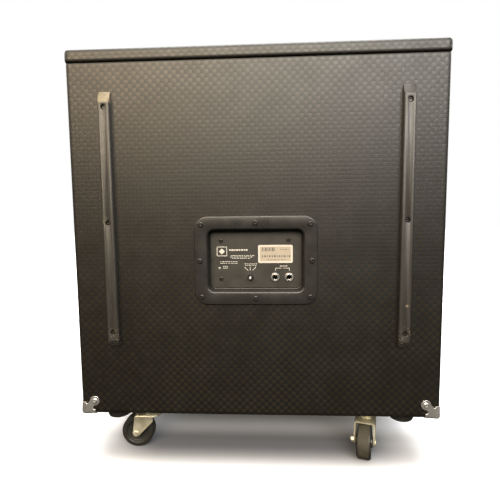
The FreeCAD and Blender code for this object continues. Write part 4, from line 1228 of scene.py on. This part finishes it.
def make_grille_cloth():
    """Cloth stretched over the front of its frame, turned round the edges and cut away at the corners."""
    low, high = span("grille_cloth")
    w, h = high.x - low.x, high.z - low.z
    front, round_r = low.y + 0.55, 1.6
    bend = round_r * math.pi / 2

    def wrap(s, half):
        """Place across the frame and depth behind the front for a distance s from the middle."""
        flat = half - round_r
        d = abs(s)
        if d <= flat:
            out, deep = d, 0.0
        elif d <= flat + bend:
            a = (d - flat) / round_r
            out, deep = flat + round_r * math.sin(a), round_r * (1 - math.cos(a))
        else:
            out, deep = half, round_r + d - flat - bend
        return math.copysign(out, s), deep

    def stations(half):
        flat = half - round_r
        count = round(2 * flat / 5.0)
        inner = [-flat + 2 * flat * k / count for k in range(count + 1)]
        turned = [flat + bend * k / 4 for k in range(1, 5)]
        turned += [flat + bend + CLOTH_WRAP * k / 3 for k in (1, 2, 3)]
        return [-s for s in turned[::-1]] + inner + turned, flat

    sx, flat_x = stations(w / 2)
    sz, flat_z = stations(h / 2)
    middle = Vector(((low.x + high.x) / 2, (low.z + high.z) / 2))
    points, extra, faces = [], [], []
    for a in sx:
        for b in sz:
            x, dx = wrap(a, w / 2)
            z, dz = wrap(b, h / 2)
            rx, rz = min(1.0, abs(a) / (flat_x - 16)), min(1.0, abs(b) / (flat_z - 16))
            slack = 0.30 * (1 - rx ** 4) * (1 - rz ** 4)
            points.append((middle.x + x, front + dx + dz + slack, middle.y + z))
            extra.append((a / THREAD, b / THREAD, 0.0))
    for quad in quads(len(sx), len(sz)):
        i, j = divmod(quad[0], len(sz))
        a, b = (sx[i] + sx[i + 1]) / 2, (sz[j] + sz[j + 1]) / 2
        if abs(a) <= flat_x + bend * 0.5 or abs(b) <= flat_z + bend * 0.5:
            faces.append(quad)
    form = Form().add(points, faces, 0, extra)
    cloth = form.piece("speaker_cloth", "grille_cloth", "root_cabinet", "grille_cloth", ["grille_cloth"],
                       sharp=80, attribute="weave")


# ---- finishes of the CAD nodes that stay -----------------------------------------------------------
KEPT = {                # finish: what the names of its nodes start with
    "painted_ply": ("side_panel", "bottom_panel", "back_panel", "front_baffle", "grille_frame"),
    "bare_ply": ("top_frame", "lid_battens"),
    "vinyl": ("lid_panel",),
    "foam_seal": ("lid_gasket",),
    "wadding": ("acoustic_lining",),
    "black_steel": ("woofer_basket",),
    "magnet_steel": ("woofer_magnet", "compression_driver"),
    "cone_paper": ("woofer_cone", "dust_cap"),
    "copper_coil": ("voice_coil",),
    "treated_cloth": ("woofer_surround", "woofer_spider"),
    "grille_cloth": ("grille_cloth",),
    "black_plastic": ("horn_flare", "port_tubes", "jack_sockets", "toggle_switch", "jack_plate",
                      "side_handle"),
    "black_screws": ("driver_screws", "jack_plate_screws", "cabinet_screws"),
    "nickel": ("jack_nuts", "toggle_lever", "corner_protectors"),
    "circuit_board": ("crossover_board",),
    "wire_sheath": ("internal_wiring",),
    "rail_paint": ("skid_rail",),
    "panel_paint": ("jack_panel",),
    "foot_rubber": ("rubber_feet",),
    "latch_steel": ("latch_",),
    "zinc": ("caster_",),
    "wheel_plastic": ("wheel_hub",),
    "wheel_rubber": ("wheel_tyre",),
}


def finish_kept_nodes():
    finishes = {start: finish for finish, starts in KEPT.items() for start in starts}
    for name, node in NODES.items():
        start = max((s for s in finishes if name.startswith(s)), key=len)
        node.data.materials.clear()
        node.data.materials.append(MATERIALS[finishes[start]])


def make_floor():
    reach, count = 9.0, 24
    stops = [-reach + 2 * reach * k / count for k in range(count + 1)]
    mesh = bpy.data.meshes.new("studio_floor")
    mesh.from_pydata([(x, y, 0.0) for x in stops for y in stops], [], list(quads(count + 1, count + 1)))
    # the floor's material carries a painted shadow under the object
    mesh.materials.append(MATERIALS["floor_paint"])
    floor = bpy.data.objects.new("studio_floor", mesh)
    bpy.context.scene.collection.objects.link(floor)
    floor.visible_glossy = False       # no bounce, so the object's lower parts stay dark
    floor.visible_diffuse = False


bpy.context.scene.view_settings.view_transform = "Standard"
for make in (make_camera, make_lights, make_world, make_floor, finish_kept_nodes, make_cabinet_covering,
             make_lid_covering, make_jack_plate, make_panel_print, make_rails, make_screws, make_corners,
             make_feet, make_handles, make_latches, make_casters, make_grille_cloth):
    make()
